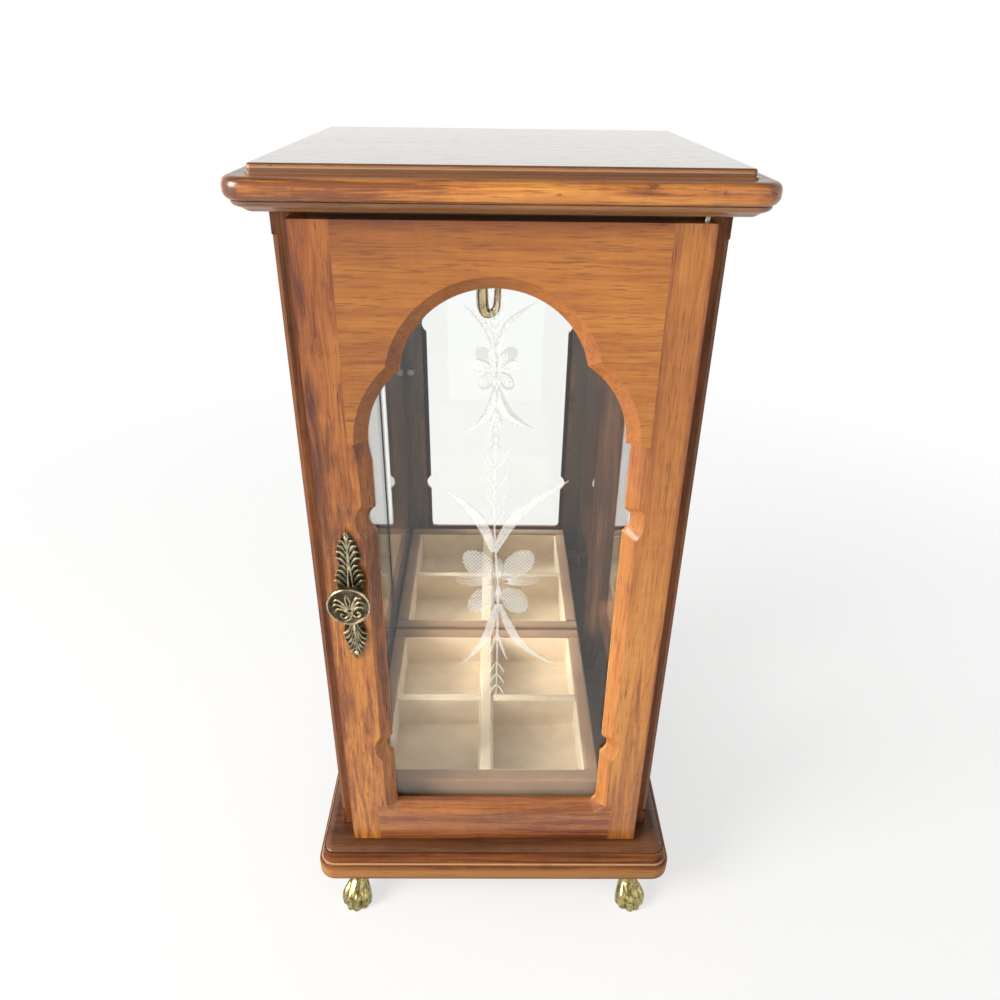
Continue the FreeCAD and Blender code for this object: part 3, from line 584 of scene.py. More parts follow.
@dataclass(frozen=True)
class Wood:
    """Oiled and lacquered hardwood with open pores, on Object coordinates."""

    name: str
    grain: Grain
    seed: float
    pale: Colour = srgb(206, 138, 72)
    middle: Colour = srgb(186, 114, 54)
    dark: Colour = srgb(140, 78, 34)
    pore: Colour = srgb(84, 42, 18)
    streaks: float = 0.35
    gloss: float = 0.34
    lacquer: float = 0.35
    # Darkenings that fade out along an axis, mostly painted shade: the axis, where it is full, where it ends, in
    # millimetres, and its tone
    tones: tuple[tuple[int, float, float, Colour], ...] = ()
    shade_in_bevels: bool = False
    flat_sheen: bool = False
    specks: float = 0.0
    run: float = 9.0
    shine: float = 0.5
    dark_back: bool = False
    wraps: bool = False
    lined_from: Optional[tuple[int, float, float]] = None
    lining: Colour = srgb(88, 70, 49)
    # Painted lines of shade and light along an edge: axis, place and half width in millimetres, colour and strength
    lines: tuple[tuple[int, float, float, Colour, float], ...] = ()
    figure: float = 1.0

    def made(self) -> bpy.types.Material:
        """Builds the material."""
        bench = NodeBench(self.name)
        start = bench.add("TexCoord").outputs["Object"]
        turn = tuple(math.radians(angle) for angle in self.grain.value)
        shift = (self.seed * 0.371, self.seed * 0.533, self.seed * 0.717)
        at = bench.add("Mapping", Vector=start, Rotation=turn, Location=shift).outputs[0]
        facing = bench.add("SeparateXYZ", Vector=bench.add("TexCoord").outputs["Normal"])
        if self.wraps:
            turn = tuple(math.radians(angle) for angle in Grain.FRONT_TO_BACK.value)
            sideways = bench.add("Mapping", Vector=start, Rotation=turn, Location=shift).outputs[0]
            leaning = bench.maths("SUBTRACT", *(bench.maths("ABSOLUTE", facing.outputs[axis]) for axis in (0, 1)))
            at_side = bench.maths("GREATER_THAN", leaning, 0.25)
            at = bench.blend(at_side, at, sideways)
        wander = bench.noise(at, (5, 22, 22), 2.0, 0.5, 0.3)
        rings = bench.noise(at, (self.run, 230, 230), 4.0, 0.55, 1.1)
        fibres = bench.noise(at, (70, 1500, 1500), 3.0, 0.6)
        ripple = bench.noise(at, (150, 60, 60), 2.0, 0.5, 1.2, place=(3, 1, 7))
        pores = bench.stepped(bench.noise(at, (95, 1750, 1750), 1.0, 0.4, place=(9, 4, 2)), 0.60, 0.70)
        marks = bench.stepped(bench.noise(at, (3.8 * self.run, 800, 800), 3.0, 0.55, 0.5, place=(1, 8, 5)), 0.62, 0.70)
        level = bench.maths("ADD", bench.maths("MULTIPLY", bench.maths("SUBTRACT", rings, 0.5), 0.62 * self.figure),
                            bench.maths("MULTIPLY", bench.maths("SUBTRACT", wander, 0.5), 0.55 * self.figure))
        level = bench.maths("ADD", level, bench.maths("MULTIPLY", bench.maths("SUBTRACT", fibres, 0.5), 0.30))
        level = bench.maths("ADD", level, bench.maths("MULTIPLY", bench.maths("SUBTRACT", ripple, 0.5), 0.10))
        level = bench.maths("ADD", level, 0.5)
        colour = bench.ramp(level, [(0.34, self.dark), (0.50, self.middle), (0.66, self.pale)])
        colour = bench.blend(bench.maths("MULTIPLY", pores, 0.42), colour, self.pore)
        colour = bench.blend(bench.maths("MULTIPLY", marks, self.streaks), colour, self.pore)
        # Each tone darkens the wood towards one end of an axis; most of them are painted shade
        for axis, full, none, tone in self.tones:
            where = bench.add("SeparateXYZ", Vector=start).outputs[axis]
            wavy = bench.maths("ADD", where, bench.maths("MULTIPLY", bench.maths("SUBTRACT", rings, 0.5), 0.012))
            colour = bench.blend(bench.stepped(wavy, full * MM, none * MM, 0.9, 0.0), colour, tone, "MULTIPLY")
        # Painted shade: darkens the sloped bevels round the glass opening
        if self.shade_in_bevels:
            slope = bench.maths("MULTIPLY", bench.stepped(facing.outputs[1], -0.97, -0.90), bench.stepped(facing.outputs[1], -0.45, -0.55))
            colour = bench.blend(slope, colour, (0.88, 0.80, 0.72), "MULTIPLY")
        if self.specks:
            dots = bench.stepped(bench.noise(at, (150, 260, 260), 2.0, 0.6, place=(2, 6, 3)), 0.66, 0.72)
            colour = bench.blend(bench.maths("MULTIPLY", dots, self.specks), colour, self.pore)
        # Painted shade and highlight lines along edges, weaker where the grain's marks fall
        for axis, place, half, tone, strength in self.lines:
            where = bench.add("SeparateXYZ", Vector=start).outputs[axis]
            off = bench.maths("ABSOLUTE", bench.maths("SUBTRACT", where, place * MM))
            here = bench.stepped(off, 0.4 * half * MM, half * MM, strength, 0.0)
            colour = bench.blend(bench.maths("MULTIPLY", here, bench.stepped(marks, 0.0, 1.0, 1.0, 0.45)), colour, tone)
        stain = bench.ramp(bench.maths("ADD", bench.maths("MULTIPLY", level, 0.8), bench.maths("MULTIPLY", fibres, 0.2)), [
            (0.36, tuple(0.62 * part for part in self.lining)), (0.50, self.lining), (0.66, tuple(1.3 * part for part in self.lining))])
        if self.lined_from:
            axis, low, high = self.lined_from
            where = bench.add("SeparateXYZ", Vector=start).outputs[axis]
            colour = bench.blend(bench.stepped(where, low * MM, high * MM), colour, stain)
        if self.dark_back:
            colour = bench.blend(bench.stepped(facing.outputs[1], 0.3, 0.6), colour, stain)
        raised = bench.maths("SUBTRACT", bench.maths("MULTIPLY", fibres, 0.35), pores)
        rough = bench.maths("ADD", bench.maths("MULTIPLY", pores, 0.25), bench.stepped(wander, 0.3, 0.7, self.gloss, self.gloss + 0.08))
        lacquer = self.lacquer
        if self.flat_sheen:
            lacquer = bench.stepped(facing.outputs[2], 0.4, 0.95, 0.1, self.lacquer)
            rough = bench.maths("ADD", rough, bench.stepped(facing.outputs[2], 0.4, 0.95, 0.3, 0.0))
        shader = bench.add("BsdfPrincipled", Base_Color=colour, Roughness=rough, Normal=bench.bump(raised, 0.05, 0.5),
                           Coat_Weight=lacquer, Coat_Roughness=0.10, IOR=1.5, Specular_IOR_Level=self.shine)
        return bench.finish(shader)


@dataclass(frozen=True)
class Brass:
    """Cast or drawn brass, darkest in its hollows."""

    name: str
    bright: Colour
    dull: Colour
    hollow: Colour
    rough: float = 0.22
    hollow_from: Optional[tuple[int, float, float]] = None
    spots: float = 1.0

    def made(self) -> bpy.types.Material:
        """Builds the material."""
        bench = NodeBench(self.name)
        start = bench.add("TexCoord").outputs["Object"]
        clouds = bench.noise(start, (420, 420, 420), 4.0, 0.6, 0.4)
        grit = bench.noise(start, (2600, 2600, 2600), 2.0, 0.5)
        worn = bench.blend(bench.stepped(clouds, 0.38, 0.66), self.bright, self.dull)
        if self.hollow_from:
            axis, low, high = self.hollow_from
            where = bench.add("SeparateXYZ", Vector=start).outputs[axis]
            deep = bench.stepped(where, low * MM, high * MM)
        else:
            pointed = bench.add("NewGeometry").outputs["Pointiness"]
            deep = bench.stepped(pointed, 0.497, 0.455)
        deep = bench.maths("MULTIPLY", deep, bench.stepped(clouds, 0.2, 0.6, 0.75, 1.0))
        colour = bench.blend(deep, worn, self.hollow)
        rough = bench.maths("ADD", bench.maths("MULTIPLY", deep, 0.3), bench.stepped(grit, 0.3, 0.7, self.rough, self.rough + 0.1 * self.spots))
        shader = bench.add("BsdfPrincipled", Base_Color=colour, Metallic=1.0, Roughness=rough,
                           Normal=bench.bump(grit, 0.02 * self.spots, 0.35))
        return bench.finish(shader)


@dataclass(frozen=True)
class Suede:
    """Short soft nap, mottled where it has been brushed."""

    name: str
    pale: Colour
    deep: Colour

    def made(self) -> bpy.types.Material:
        """Builds the material."""
        bench = NodeBench(self.name)
        start = bench.add("TexCoord").outputs["Object"]
        brushed = bench.noise(start, (46, 60, 60), 3.0, 0.55, 0.6)
        nap = bench.noise(start, (2300, 2300, 2300), 3.0, 0.65)
        level = bench.maths("ADD", bench.maths("MULTIPLY", brushed, 0.75), bench.maths("MULTIPLY", nap, 0.3))
        colour = bench.ramp(level, [(0.34, self.deep), (0.66, self.pale)])
        shader = bench.add("BsdfPrincipled", Base_Color=colour, Roughness=0.94, Sheen_Weight=0.35,
                           Sheen_Roughness=0.45, Normal=bench.bump(nap, 0.09, 0.6))
        return bench.finish(shader)


@dataclass(frozen=True)
class Steel:
    """Plated steel of screws, pins and clips, a little brushed."""

    name: str
    colour: Colour = srgb(176, 172, 164)
    rough: float = 0.28

    def made(self) -> bpy.types.Material:
        """Builds the material."""
        bench = NodeBench(self.name)
        start = bench.add("TexCoord").outputs["Object"]
        lines = bench.noise(start, (300, 2600, 2600), 2.0)
        colour = bench.blend(bench.stepped(lines, 0.3, 0.7), self.colour, tuple(0.72 * part for part in self.colour))
        shader = bench.add("BsdfPrincipled", Base_Color=colour, Metallic=1.0,
                           Roughness=bench.stepped(lines, 0.3, 0.7, self.rough, self.rough + 0.12))
        return bench.finish(shader)


@dataclass(frozen=True)
class Pane:
    """Clear glass that lets the lamps through."""

    name: str
    tint: Colour = (0.99, 0.996, 0.992)

    def made(self) -> bpy.types.Material:
        """Builds the material."""
        bench = NodeBench(self.name)
        start = bench.add("TexCoord").outputs["Object"]
        haze = bench.noise(start, (30, 30, 30), 3.0)
        glass = bench.add("BsdfPrincipled", Base_Color=(*self.tint, 1), Roughness=0.0, IOR=1.45, Transmission_Weight=1.0,
                          Normal=bench.bump(haze, 0.02, 0.15))
        clear = bench.add("BsdfTransparent", Color=(*self.tint, 1))
        shadow = bench.add("LightPath").outputs["Is Shadow Ray"]
        return bench.finish(bench.add("MixShader", i0=shadow, i1=glass.outputs[0], i2=clear.outputs[0]))


@dataclass(frozen=True)
class Silvering:
    """A silvered mirror with a faint unevenness."""

    name: str

    def made(self) -> bpy.types.Material:
        """Builds the material."""
        bench = NodeBench(self.name)
        start = bench.add("TexCoord").outputs["Object"]
        clouds = bench.noise(start, (14, 14, 14), 3.0)
        colour = bench.blend(clouds, (0.95, 0.96, 0.945), (0.985, 0.985, 0.975))
        shader = bench.add("BsdfPrincipled", Base_Color=colour, Metallic=1.0, Roughness=0.015,
                           Normal=bench.bump(clouds, 0.02, 0.1))
        return bench.finish(shader)


@dataclass(frozen=True)
class Frosting:
    """Glass cut with a wheel, which scatters light and looks white."""

    name: str
    cover: float

    def made(self) -> bpy.types.Material:
        """Builds the material."""
        bench = NodeBench(self.name)
        start = bench.add("TexCoord").outputs["Object"]
        grit = bench.noise(start, (1900, 1900, 1900), 2.0)
        colour = bench.blend(grit, srgb(238, 238, 232), srgb(252, 252, 250))
        shader = bench.add("BsdfPrincipled", Base_Color=colour, Roughness=0.55, Alpha=self.cover,
                           Normal=bench.bump(grit, 0.01, 0.1))
        return bench.finish(shader)


def fit(piece: bpy.types.Object, finish: bpy.types.Material, body: Body, slot: str, *nodes: str) -> bpy.types.Object:
    """Finishes a new piece and sets it on its body.

    Args:
        piece: The piece, in its place.
        finish: Its material.
        body: The body that it rides on.
        slot: The record's slot for its finish, which is not used.
        *nodes: The nodes that it stands for.

    Returns:
        The same piece.
    """
    piece.data.materials.clear()
    piece.data.materials.append(finish)
    for polygon in piece.data.polygons:
        polygon.material_index = 0
    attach(piece, body.value)
    if nodes:
        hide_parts(*nodes)
    LOG.info("%s on %s, %d faces, stands for %s", piece.name, body.value, len(piece.data.polygons), ", ".join(nodes) or "nothing")
    return piece


def dress(finish: bpy.types.Material, *nodes: str) -> None:
    """Gives nodes of the frame a finish.

    Args:
        finish: The material.
        *nodes: The nodes' names.
    """
    for name in nodes:
        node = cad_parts[name]
        for slot in node.material_slots:
            slot.material = finish
        if not node.material_slots:
            node.data.materials.append(finish)
        LOG.info("%s dressed in %s", name, finish.name)


# --- The chest's sub-assemblies ---------------------------------------------------------


@dataclass
class Lid:
    """Under-board, slab with a full edge, and raised panel."""

    under_plan: tuple[Pair, Pair] = ((-94.3, -88.05), (94.3, 88.35))
    slab_plan: tuple[Pair, Pair] = ((-96.7, -90.45), (96.7, 90.75))
    panel_plan: tuple[Pair, Pair] = ((-88.9, -81.25), (88.9, 82.95))
    under_top: float = 374.4
    slab_top: float = 382.5
    panel_top: float = 386.0

    def build(self) -> None:
        """Makes the lid's three boards."""
        shadow = Wood("lid_under_wood", Grain.ACROSS, 2.3, srgb(153, 106, 62), srgb(125, 83, 48), srgb(86, 55, 31))
        # Painted shade: the slab's ends are darkened, with shade lines along its top beside the panel and along its
        # underside
        edge = Wood("lid_edge_wood", Grain.ACROSS, 4.1, srgb(225, 156, 70), srgb(198, 122, 51), srgb(126, 68, 28), streaks=0.65,
                    gloss=0.30, lacquer=0.4, figure=1.5, run=12, specks=0.6, wraps=True, tones=((0, -96.0, -85.0, srgb(186, 160, 150)), (0, 96.0, 85.0, srgb(186, 160, 150))), lines=(
                        (2, 382.6, 1.0, srgb(98, 56, 30), 0.55), (2, 374.5, 1.0, srgb(70, 40, 22), 0.5)))
        # Painted shade on the panel's edge faces, darkest just under its top, with a thin pale line across them
        top = Wood("lid_top_wood", Grain.ACROSS, 7.7, srgb(196, 130, 70), srgb(168, 104, 50), srgb(118, 68, 30), gloss=0.12,
                   lacquer=1.0, flat_sheen=True, specks=0.5, wraps=True, lines=((2, 383.6, 1.9, srgb(104, 68, 42), 0.85), (2, 384.6, 0.35, srgb(206, 176, 136), 0.5),
                                       (2, 385.7, 0.5, srgb(62, 38, 22), 0.8)))
        z = self.under_top
        under = moulded("lid_under_moulding", *self.under_plan, 7.1, z - 0.5, [(0.0, z)],
                        [(0.15, z - 0.9), (0.7, z - 1.5), (1.9, z - 2.1), (3.1, z - 2.5), (4.0, z - 2.95),
                         (4.7, z - 3.45), (5.4, z - 3.8), (6.2, z - 4.05), (6.6, z - 4.1)])
        fit(under, shadow.made(), Body.CABINET, "case_wood", "lid_under_board")
        z = self.slab_top
        slab = moulded("lid_slab_edge", *self.slab_plan, 9.5, z - 3.2,
                       [(0.08, z - 2.4), (0.35, z - 1.6), (0.85, z - 0.9), (1.6, z - 0.4), (2.5, z - 0.1), (3.4, z)],
                       [(0.0, z - 4.7), (0.12, z - 5.58), (0.46, z - 6.4), (1.0, z - 7.1), (1.7, z - 7.64), (2.52, z - 7.98), (3.4, z - 8.1)])
        fit(slab, edge.made(), Body.CABINET, "case_wood", "lid_slab")
        z = self.panel_top
        panel = moulded("lid_panel", *self.panel_plan, 2.6, self.slab_top,
                        [(0.0, self.slab_top + 0.55), (0.15, self.slab_top + 0.75), (0.8, self.slab_top + 0.85),
                         (0.8, z - 0.9), (0.95, z - 0.45), (1.25, z - 0.15), (1.7, z)])
        fit(panel, top.made(), Body.CABINET, "case_wood", "lid_raised_panel")


@dataclass
class Base:
    """Base board, let into a mitred moulding with a cove and a rounded band."""

    half: Pair = (96.8, 90.85)
    inner: Pair = (68.8, 62.85)
    board: Pair = (92.8, 86.85)
    corner: float = 9.5
    low: float = 20.0
    band_top: float = 31.6
    top: float = 38.5
    board_low: float = 34.0
    board_corner: float = 5.5
    board_top: float = 40.0
    mitre_gap: float = 0.05
    sides: tuple[str, ...] = ("front", "back", "left", "right")

    def ring(self) -> bpy.types.Object:
        """Works the moulding's section all round and hollows it out."""
        x, y = self.half
        piece = moulded("base_ring", (-x, -y), (x, y), self.corner, 25.6,
                        [(0.0, 28.4), (0.15, 29.6), (0.55, 30.6), (1.2, 31.3), (1.9, 31.6), (2.05, 31.65),
                         (2.15, 32.3), (2.4, 33.4), (2.8, 34.9), (3.1, 36.5), (3.25, 38.0), (3.4, 38.5)],
                        [(0.0, 22.6), (0.09, 21.93), (0.35, 21.3), (0.76, 20.76), (1.3, 20.35), (1.93, 20.09), (2.6, self.low)])
        hollows = [block("hollow", (-self.inner[0], -self.inner[1], 10), (self.inner[0], self.inner[1], 50)),
                   moulded("seat", (-self.board[0], -self.board[1]), self.board, self.board_corner, self.board_low, [(0.0, 60.0)])]
        for hollow in hollows:
            use(piece, "BOOLEAN", operation="DIFFERENCE", object=hollow, solver="EXACT")
            bpy.data.objects.remove(hollow)
        return piece

    def mitred(self, ring: bpy.types.Object, side: str) -> bpy.types.Object:
        """Saws one length out of the ring.

        Args:
            ring: The whole ring.
            side: Front, back, left or right.

        Returns:
            The length, with its mitred ends closed.
        """
        piece = twin(ring, f"base_moulding_{side}_length")
        skew = self.half[0] - self.half[1]
        along_x = side in ("front", "back")
        sign = -1 if side in ("front", "left") else 1
        for other in (-1, 1):
            normal = (other, -sign, 0) if along_x else (-sign, other, 0)
            reach = skew if along_x else -skew
            at = Vector(normal).normalized() * (reach / math.sqrt(2) - self.mitre_gap) * MM
            with shaping(piece):
                bpy.ops.mesh.bisect(plane_co=at, plane_no=normal, use_fill=True, clear_outer=True)
        with shaping(piece):
            bpy.ops.mesh.normals_make_consistent(inside=False)
        smooth(piece)
        return piece

    def build(self) -> None:
        """Makes the four lengths and the board."""
        ring = self.ring()
        for number, side in enumerate(self.sides):
            grain = Grain.ACROSS if side in ("front", "back") else Grain.FRONT_TO_BACK
            # Painted lines: shade in the join under the board, a highlight on the edge above the band, light on the
            # rounded band, and shade where the band turns under
            wood = Wood(f"base_{side}_wood", grain, 11.3 + number, srgb(140, 85, 38), srgb(116, 62, 25), srgb(78, 38, 12),
                        streaks=0.6, gloss=0.46, lacquer=0.05, figure=1.5, shine=0.15,
                        lines=((2, 38.4, 0.4, srgb(60, 34, 20), 0.45),
                               (2, 31.6, 0.35, srgb(226, 190, 150), 0.55), (2, 25.8, 4.8, srgb(190, 134, 78), 0.62),
                               (2, 20.6, 1.2, srgb(96, 54, 28), 0.6)))
            fit(self.mitred(ring, side), wood.made(), Body.CABINET, "case_wood", f"base_moulding_{side}")
        bpy.data.objects.remove(ring)
        x, y = self.board
        board = moulded("base_board_top", (-x, -y), (x, y), self.board_corner, self.board_low,
                        [(0.0, self.board_top - 1.3), (0.35, self.board_top - 1.0), (1.6, self.board_top - 0.5), (2.6, self.board_top - 0.15),
                          (3.0, self.board_top)])
        wood = Wood("base_board_wood", Grain.ACROSS, 17.9, srgb(124, 78, 44), srgb(98, 58, 32), srgb(66, 36, 18), lacquer=0.35)
        fit(board, wood.made(), Body.CABINET, "case_wood", "base_board")


@dataclass
class ClawFeet:
    """Four cast brass paws, splayed outwards."""

    centre: Pair = (75.5, 82.45)
    splay: float = 14.0
    height: float = 20.0
    toes: tuple[float, ...] = (-1.5, -0.5, 0.5, 1.5)
    grid: float = 0.28

    def toe(self, side: float) -> Stroke:
        """One toe, from the knuckle down to its tip.

        Args:
            side: Its place across the paw, from -1.5 to 1.5.

        Returns:
            Its stroke.
        """
        far = abs(side)
        points = [(side * 1.4, -1.6, 13.6), (side * 2.5, -5.4 + 0.8 * far, 10.4), (side * 3.3, -9.8 + 1.6 * far, 7.0),
                  (side * 3.5, -11.8 + 2.4 * far, 4.4), (side * 3.4, -12.4 + 2.6 * far, 2.2), (side * 3.4, -12.3 + 2.6 * far, -1.2)]
        return points, [1.5, 2.3, 2.7, 2.6, 2.4, 2.2]

    def claw(self, side: float) -> Stroke:
        """The blunt claw let into a toe's end.

        Args:
            side: The toe's place across the paw.

        Returns:
            Its stroke.
        """
        far = abs(side)
        points = [(side * 3.8, -13.3 + 2.4 * far, 5.0), (side * 3.8, -13.7 + 2.4 * far, 3.0), (side * 3.7, -13.4 + 2.4 * far, 1.4)]
        return points, [0.5, 0.85, 0.75]

    def paw(self) -> bpy.types.Object:
        """Models one paw at the origin, with its toes towards -Y."""
        neck = turned("paw", [(5.2, 20.0), (5.2, 19.0), (4.9, 18.5), (4.2, 18.2), (4.05, 17.6), (4.5, 17.0), (4.5, 16.4),
                              (4.1, 15.9), (4.2, 14.5), (4.9, 12.0), (4.0, 8.0), (2.0, 5.5)], 40)
        close_up(neck)
        strokes = [self.toe(side) for side in self.toes]
        strokes.append(([(0, 0.4, 17), (0, -0.6, 13), (0, -3.0, 9.4), (0, -5.0, 6.2), (0, -6.0, 3.0), (0, -6.0, -1.2)],
                        [3.8, 4.6, 5.6, 6.4, 6.8, 6.6]))
        for wide in (-1, 1):
            strokes.append(([(wide * 1.2, 0.4, 14.5), (wide * 2.2, -1.6, 10.4), (wide * 3.3, -4.0, 6.6), (wide * 3.8, -5.2, 3.4),
                             (wide * 3.8, -5.2, -1.2)], [2.4, 3.3, 4.2, 4.5, 4.3]))
        for wide in (-1.6, 0, 1.6):
            strokes.append(([(wide, 3.6 - abs(wide) * 0.4, 15.4), (wide * 1.6, 4.6, 12.2), (wide * 1.8, 4.8, 9.0),
                             (wide * 1.4, 3.4, 5.6)], [0.9, 1.3, 1.2, 0.7]))
        muscles = carved("muscles", strokes, 4, 6)
        paw = joined("paw", neck, muscles)
        use(paw, "REMESH", mode="VOXEL", voxel_size=self.grid * MM)
        use(paw, "SMOOTH", factor=0.5, iterations=1)
        with shaping(paw):
            bpy.ops.mesh.bisect(plane_co=(0, 0, 0), plane_no=(0, 0, 1), use_fill=True, clear_inner=True)
        nails = carved("claws", [self.claw(side) for side in self.toes], 3, 5)
        paw = joined("paw", paw, nails)
        for corner in paw.data.vertices:
            corner.co.z = max(corner.co.z, 0.0)
        smooth(paw, 50)
        return paw

    def build(self) -> None:
        """Sets the four paws."""
        paw = self.paw()
        brass = Brass("foot_brass", srgb(190, 176, 120), srgb(104, 94, 54), srgb(20, 17, 9), rough=0.2).made()
        for end, deep in (("front", -1), ("rear", 1)):
            for side, wide in (("left", -1), ("right", 1)):
                name = f"foot_{end}_{side}"
                foot = twin(paw, f"{name}_paw")
                turn = math.radians(self.splay) * wide * -deep
                if deep > 0:
                    turn += math.pi
                foot.data.transform(Matrix.Translation(Vector((wide * self.centre[0], deep * self.centre[1], 0)) * MM)
                                    @ Matrix.Rotation(turn, 4, "Z"))
                fit(foot, brass, Body.CABINET, "polished_brass", name)
        bpy.data.objects.remove(paw)


@dataclass
class Tray:
    """The loose tray, covered outside and lined inside."""

    walls: dict[str, float] = field(default_factory=lambda: {
        "tray_front": 1.2, "tray_back": 1.2, "tray_side_left": 1.2, "tray_side_right": 1.2})
    dividers: dict[str, float] = field(default_factory=lambda: {
        "tray_long_divider": 0.9, "tray_cross_divider_left": 0.8, "tray_cross_divider_right": 0.8})
    cells: tuple[str, ...] = ("lining_front_left", "lining_front_right", "lining_rear_left", "lining_rear_right")
    felt_thickness: float = 0.8
    roll: float = 0.35

    def covered(self, node: str, round_over: float) -> bpy.types.Object:
        """Models one covered wall over its node.

        Args:
            node: The wall's node.
            round_over: The radius of its edges, in millimetres.

        Returns:
            The covered wall.
        """
        low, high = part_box(node)
        return block(node + "_cover", tuple(low / MM), tuple(high / MM), round_over, 4)

    def liner(self, node: str) -> bpy.types.Object:
        """Models one cell's felt liner with a rolled rim and soft corners.

        Args:
            node: The lining's node.

        Returns:
            The liner.
        """
        low, high = (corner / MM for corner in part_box(node))
        piece = block(node + "_felt", tuple(low), tuple(high))
        with shaping(piece):
            choose_faces(piece, lambda at, n: n.z > 0.9)
            bpy.ops.mesh.delete(type="ONLY_FACE")
            choose_edges(piece, lambda edge: not edge.is_boundary)
            bpy.ops.mesh.bevel(offset=1.4 * MM, segments=4, affect="EDGES")
            bpy.ops.mesh.select_all(action="SELECT")
            bpy.ops.mesh.normals_make_consistent(inside=False)
        use(piece, "SOLIDIFY", thickness=self.felt_thickness * MM, offset=-1.0, use_even_offset=True)
        with shaping(piece):
            top = high.z
            choose_edges(piece, lambda edge: all(abs(v.co.z / MM - top) < 0.02 for v in edge.verts)
                         and edge.is_manifold and edge.calc_face_angle() > 0.9)
            bpy.ops.mesh.bevel(offset=self.roll * MM, segments=3, affect="EDGES")
        smooth(piece, 50)
        return piece

    def build(self) -> None:
        """Covers the walls and lines the cells."""
        cover = Suede("tray_suede", srgb(152, 117, 82), srgb(136, 102, 70)).made()
        felt = Suede("cell_felt", srgb(226, 206, 174), srgb(208, 187, 154)).made()
        for node, round_over in self.walls.items():
            fit(self.covered(node, round_over), cover, Body.TRAY, "tray_wood", node)
        for node, round_over in self.dividers.items():
            fit(self.covered(node, round_over), felt, Body.TRAY, "felt", node)
        for node in self.cells:
            fit(self.liner(node), felt, Body.TRAY, "felt", node)
        dress(Suede("tray_underside_felt", srgb(120, 104, 84), srgb(96, 82, 64)).made(), "tray_bottom")


@dataclass
class Case:
    """Posts, rails, boards and panes of the cabinet."""

    ease: float = 0.5
    inner_face: float = 71.5

    def inside(self, side: str) -> tuple[int, float, float]:
        """Where the dark stain of the inside begins on one side.

        Args:
            side: Left or right.

        Returns:
            The axis, and where the stain starts and is full, in millimetres.
        """
        sign = -1 if side == "left" else 1
        return 0, sign * (self.inner_face + 0.4), sign * (self.inner_face + 0.1)

    def build(self) -> None:
        """Dresses the case."""
        for number, end in enumerate(("front", "rear")):
            for side in ("left", "right"):
                # The posts' dark palette is partly their stain and partly painted shade of the recess beside the door;
                # the rear posts are also darker towards the front
                wood = Wood(f"{end}_post_{side}_wood", Grain.UPRIGHT, 21.1 + 3.7 * number + (side == "left"),
                            srgb(140, 82, 40), srgb(108, 62, 30), srgb(66, 36, 17), gloss=0.44, lacquer=0.05, shine=0.2,
                            lined_from=self.inside(side),
                            tones=((1, 59.4, 60.4, srgb(150, 140, 136)),) if end == "rear" else ())
                node = f"{end}_post_{side}"
                fit(soft_copy(node, node + "_board", self.ease), wood.made(), Body.CABINET, "case_wood", node)
        for number, place in enumerate(("bottom", "top")):
            for side in ("left", "right"):
                wood = Wood(f"side_{place}_rail_{side}_wood", Grain.FRONT_TO_BACK, 31.7 + 2.9 * number + (side == "left"),
                            srgb(168, 106, 60), srgb(140, 84, 44), srgb(96, 54, 26), gloss=0.3,
                            lined_from=self.inside(side))
                dress(wood.made(), f"side_{place}_rail_{side}")
        inside = Wood("inside_wood", Grain.ACROSS, 40.3, srgb(120, 84, 56), srgb(98, 66, 42), srgb(66, 42, 26), lacquer=0.2)
        dress(inside.made(), "floor_board", "ceiling_board")
        back = Wood("back_wood", Grain.UPRIGHT, 44.9, srgb(150, 106, 70), srgb(126, 86, 54), srgb(92, 58, 34), gloss=0.5, lacquer=0.0)
        dress(back.made(), "back_panel")
        dress(Pane("clear_glass").made(), "side_glass_left", "side_glass_right", "door_glass")
        dress(Silvering("silvered_glass").made(), "back_mirror")
        dress(Steel("plated_steel").made(), "base_screws", "foot_studs", "back_brads", "lid_screws", "knob_screw",
              "pivot_pin_lower", "pivot_pin_upper")
        dress(Steel("dull_strike_steel", srgb(84, 78, 70), 0.5).made(), "strike_plate")
        dress(Steel("magnet_steel", srgb(130, 128, 124), 0.4).made(), "catch_magnet")
        clips = Brass("clip_brass", srgb(216, 186, 116), srgb(180, 150, 90), srgb(90, 70, 36), rough=0.25)
        dress(clips.made(), "side_glass_clips", "mirror_clips")


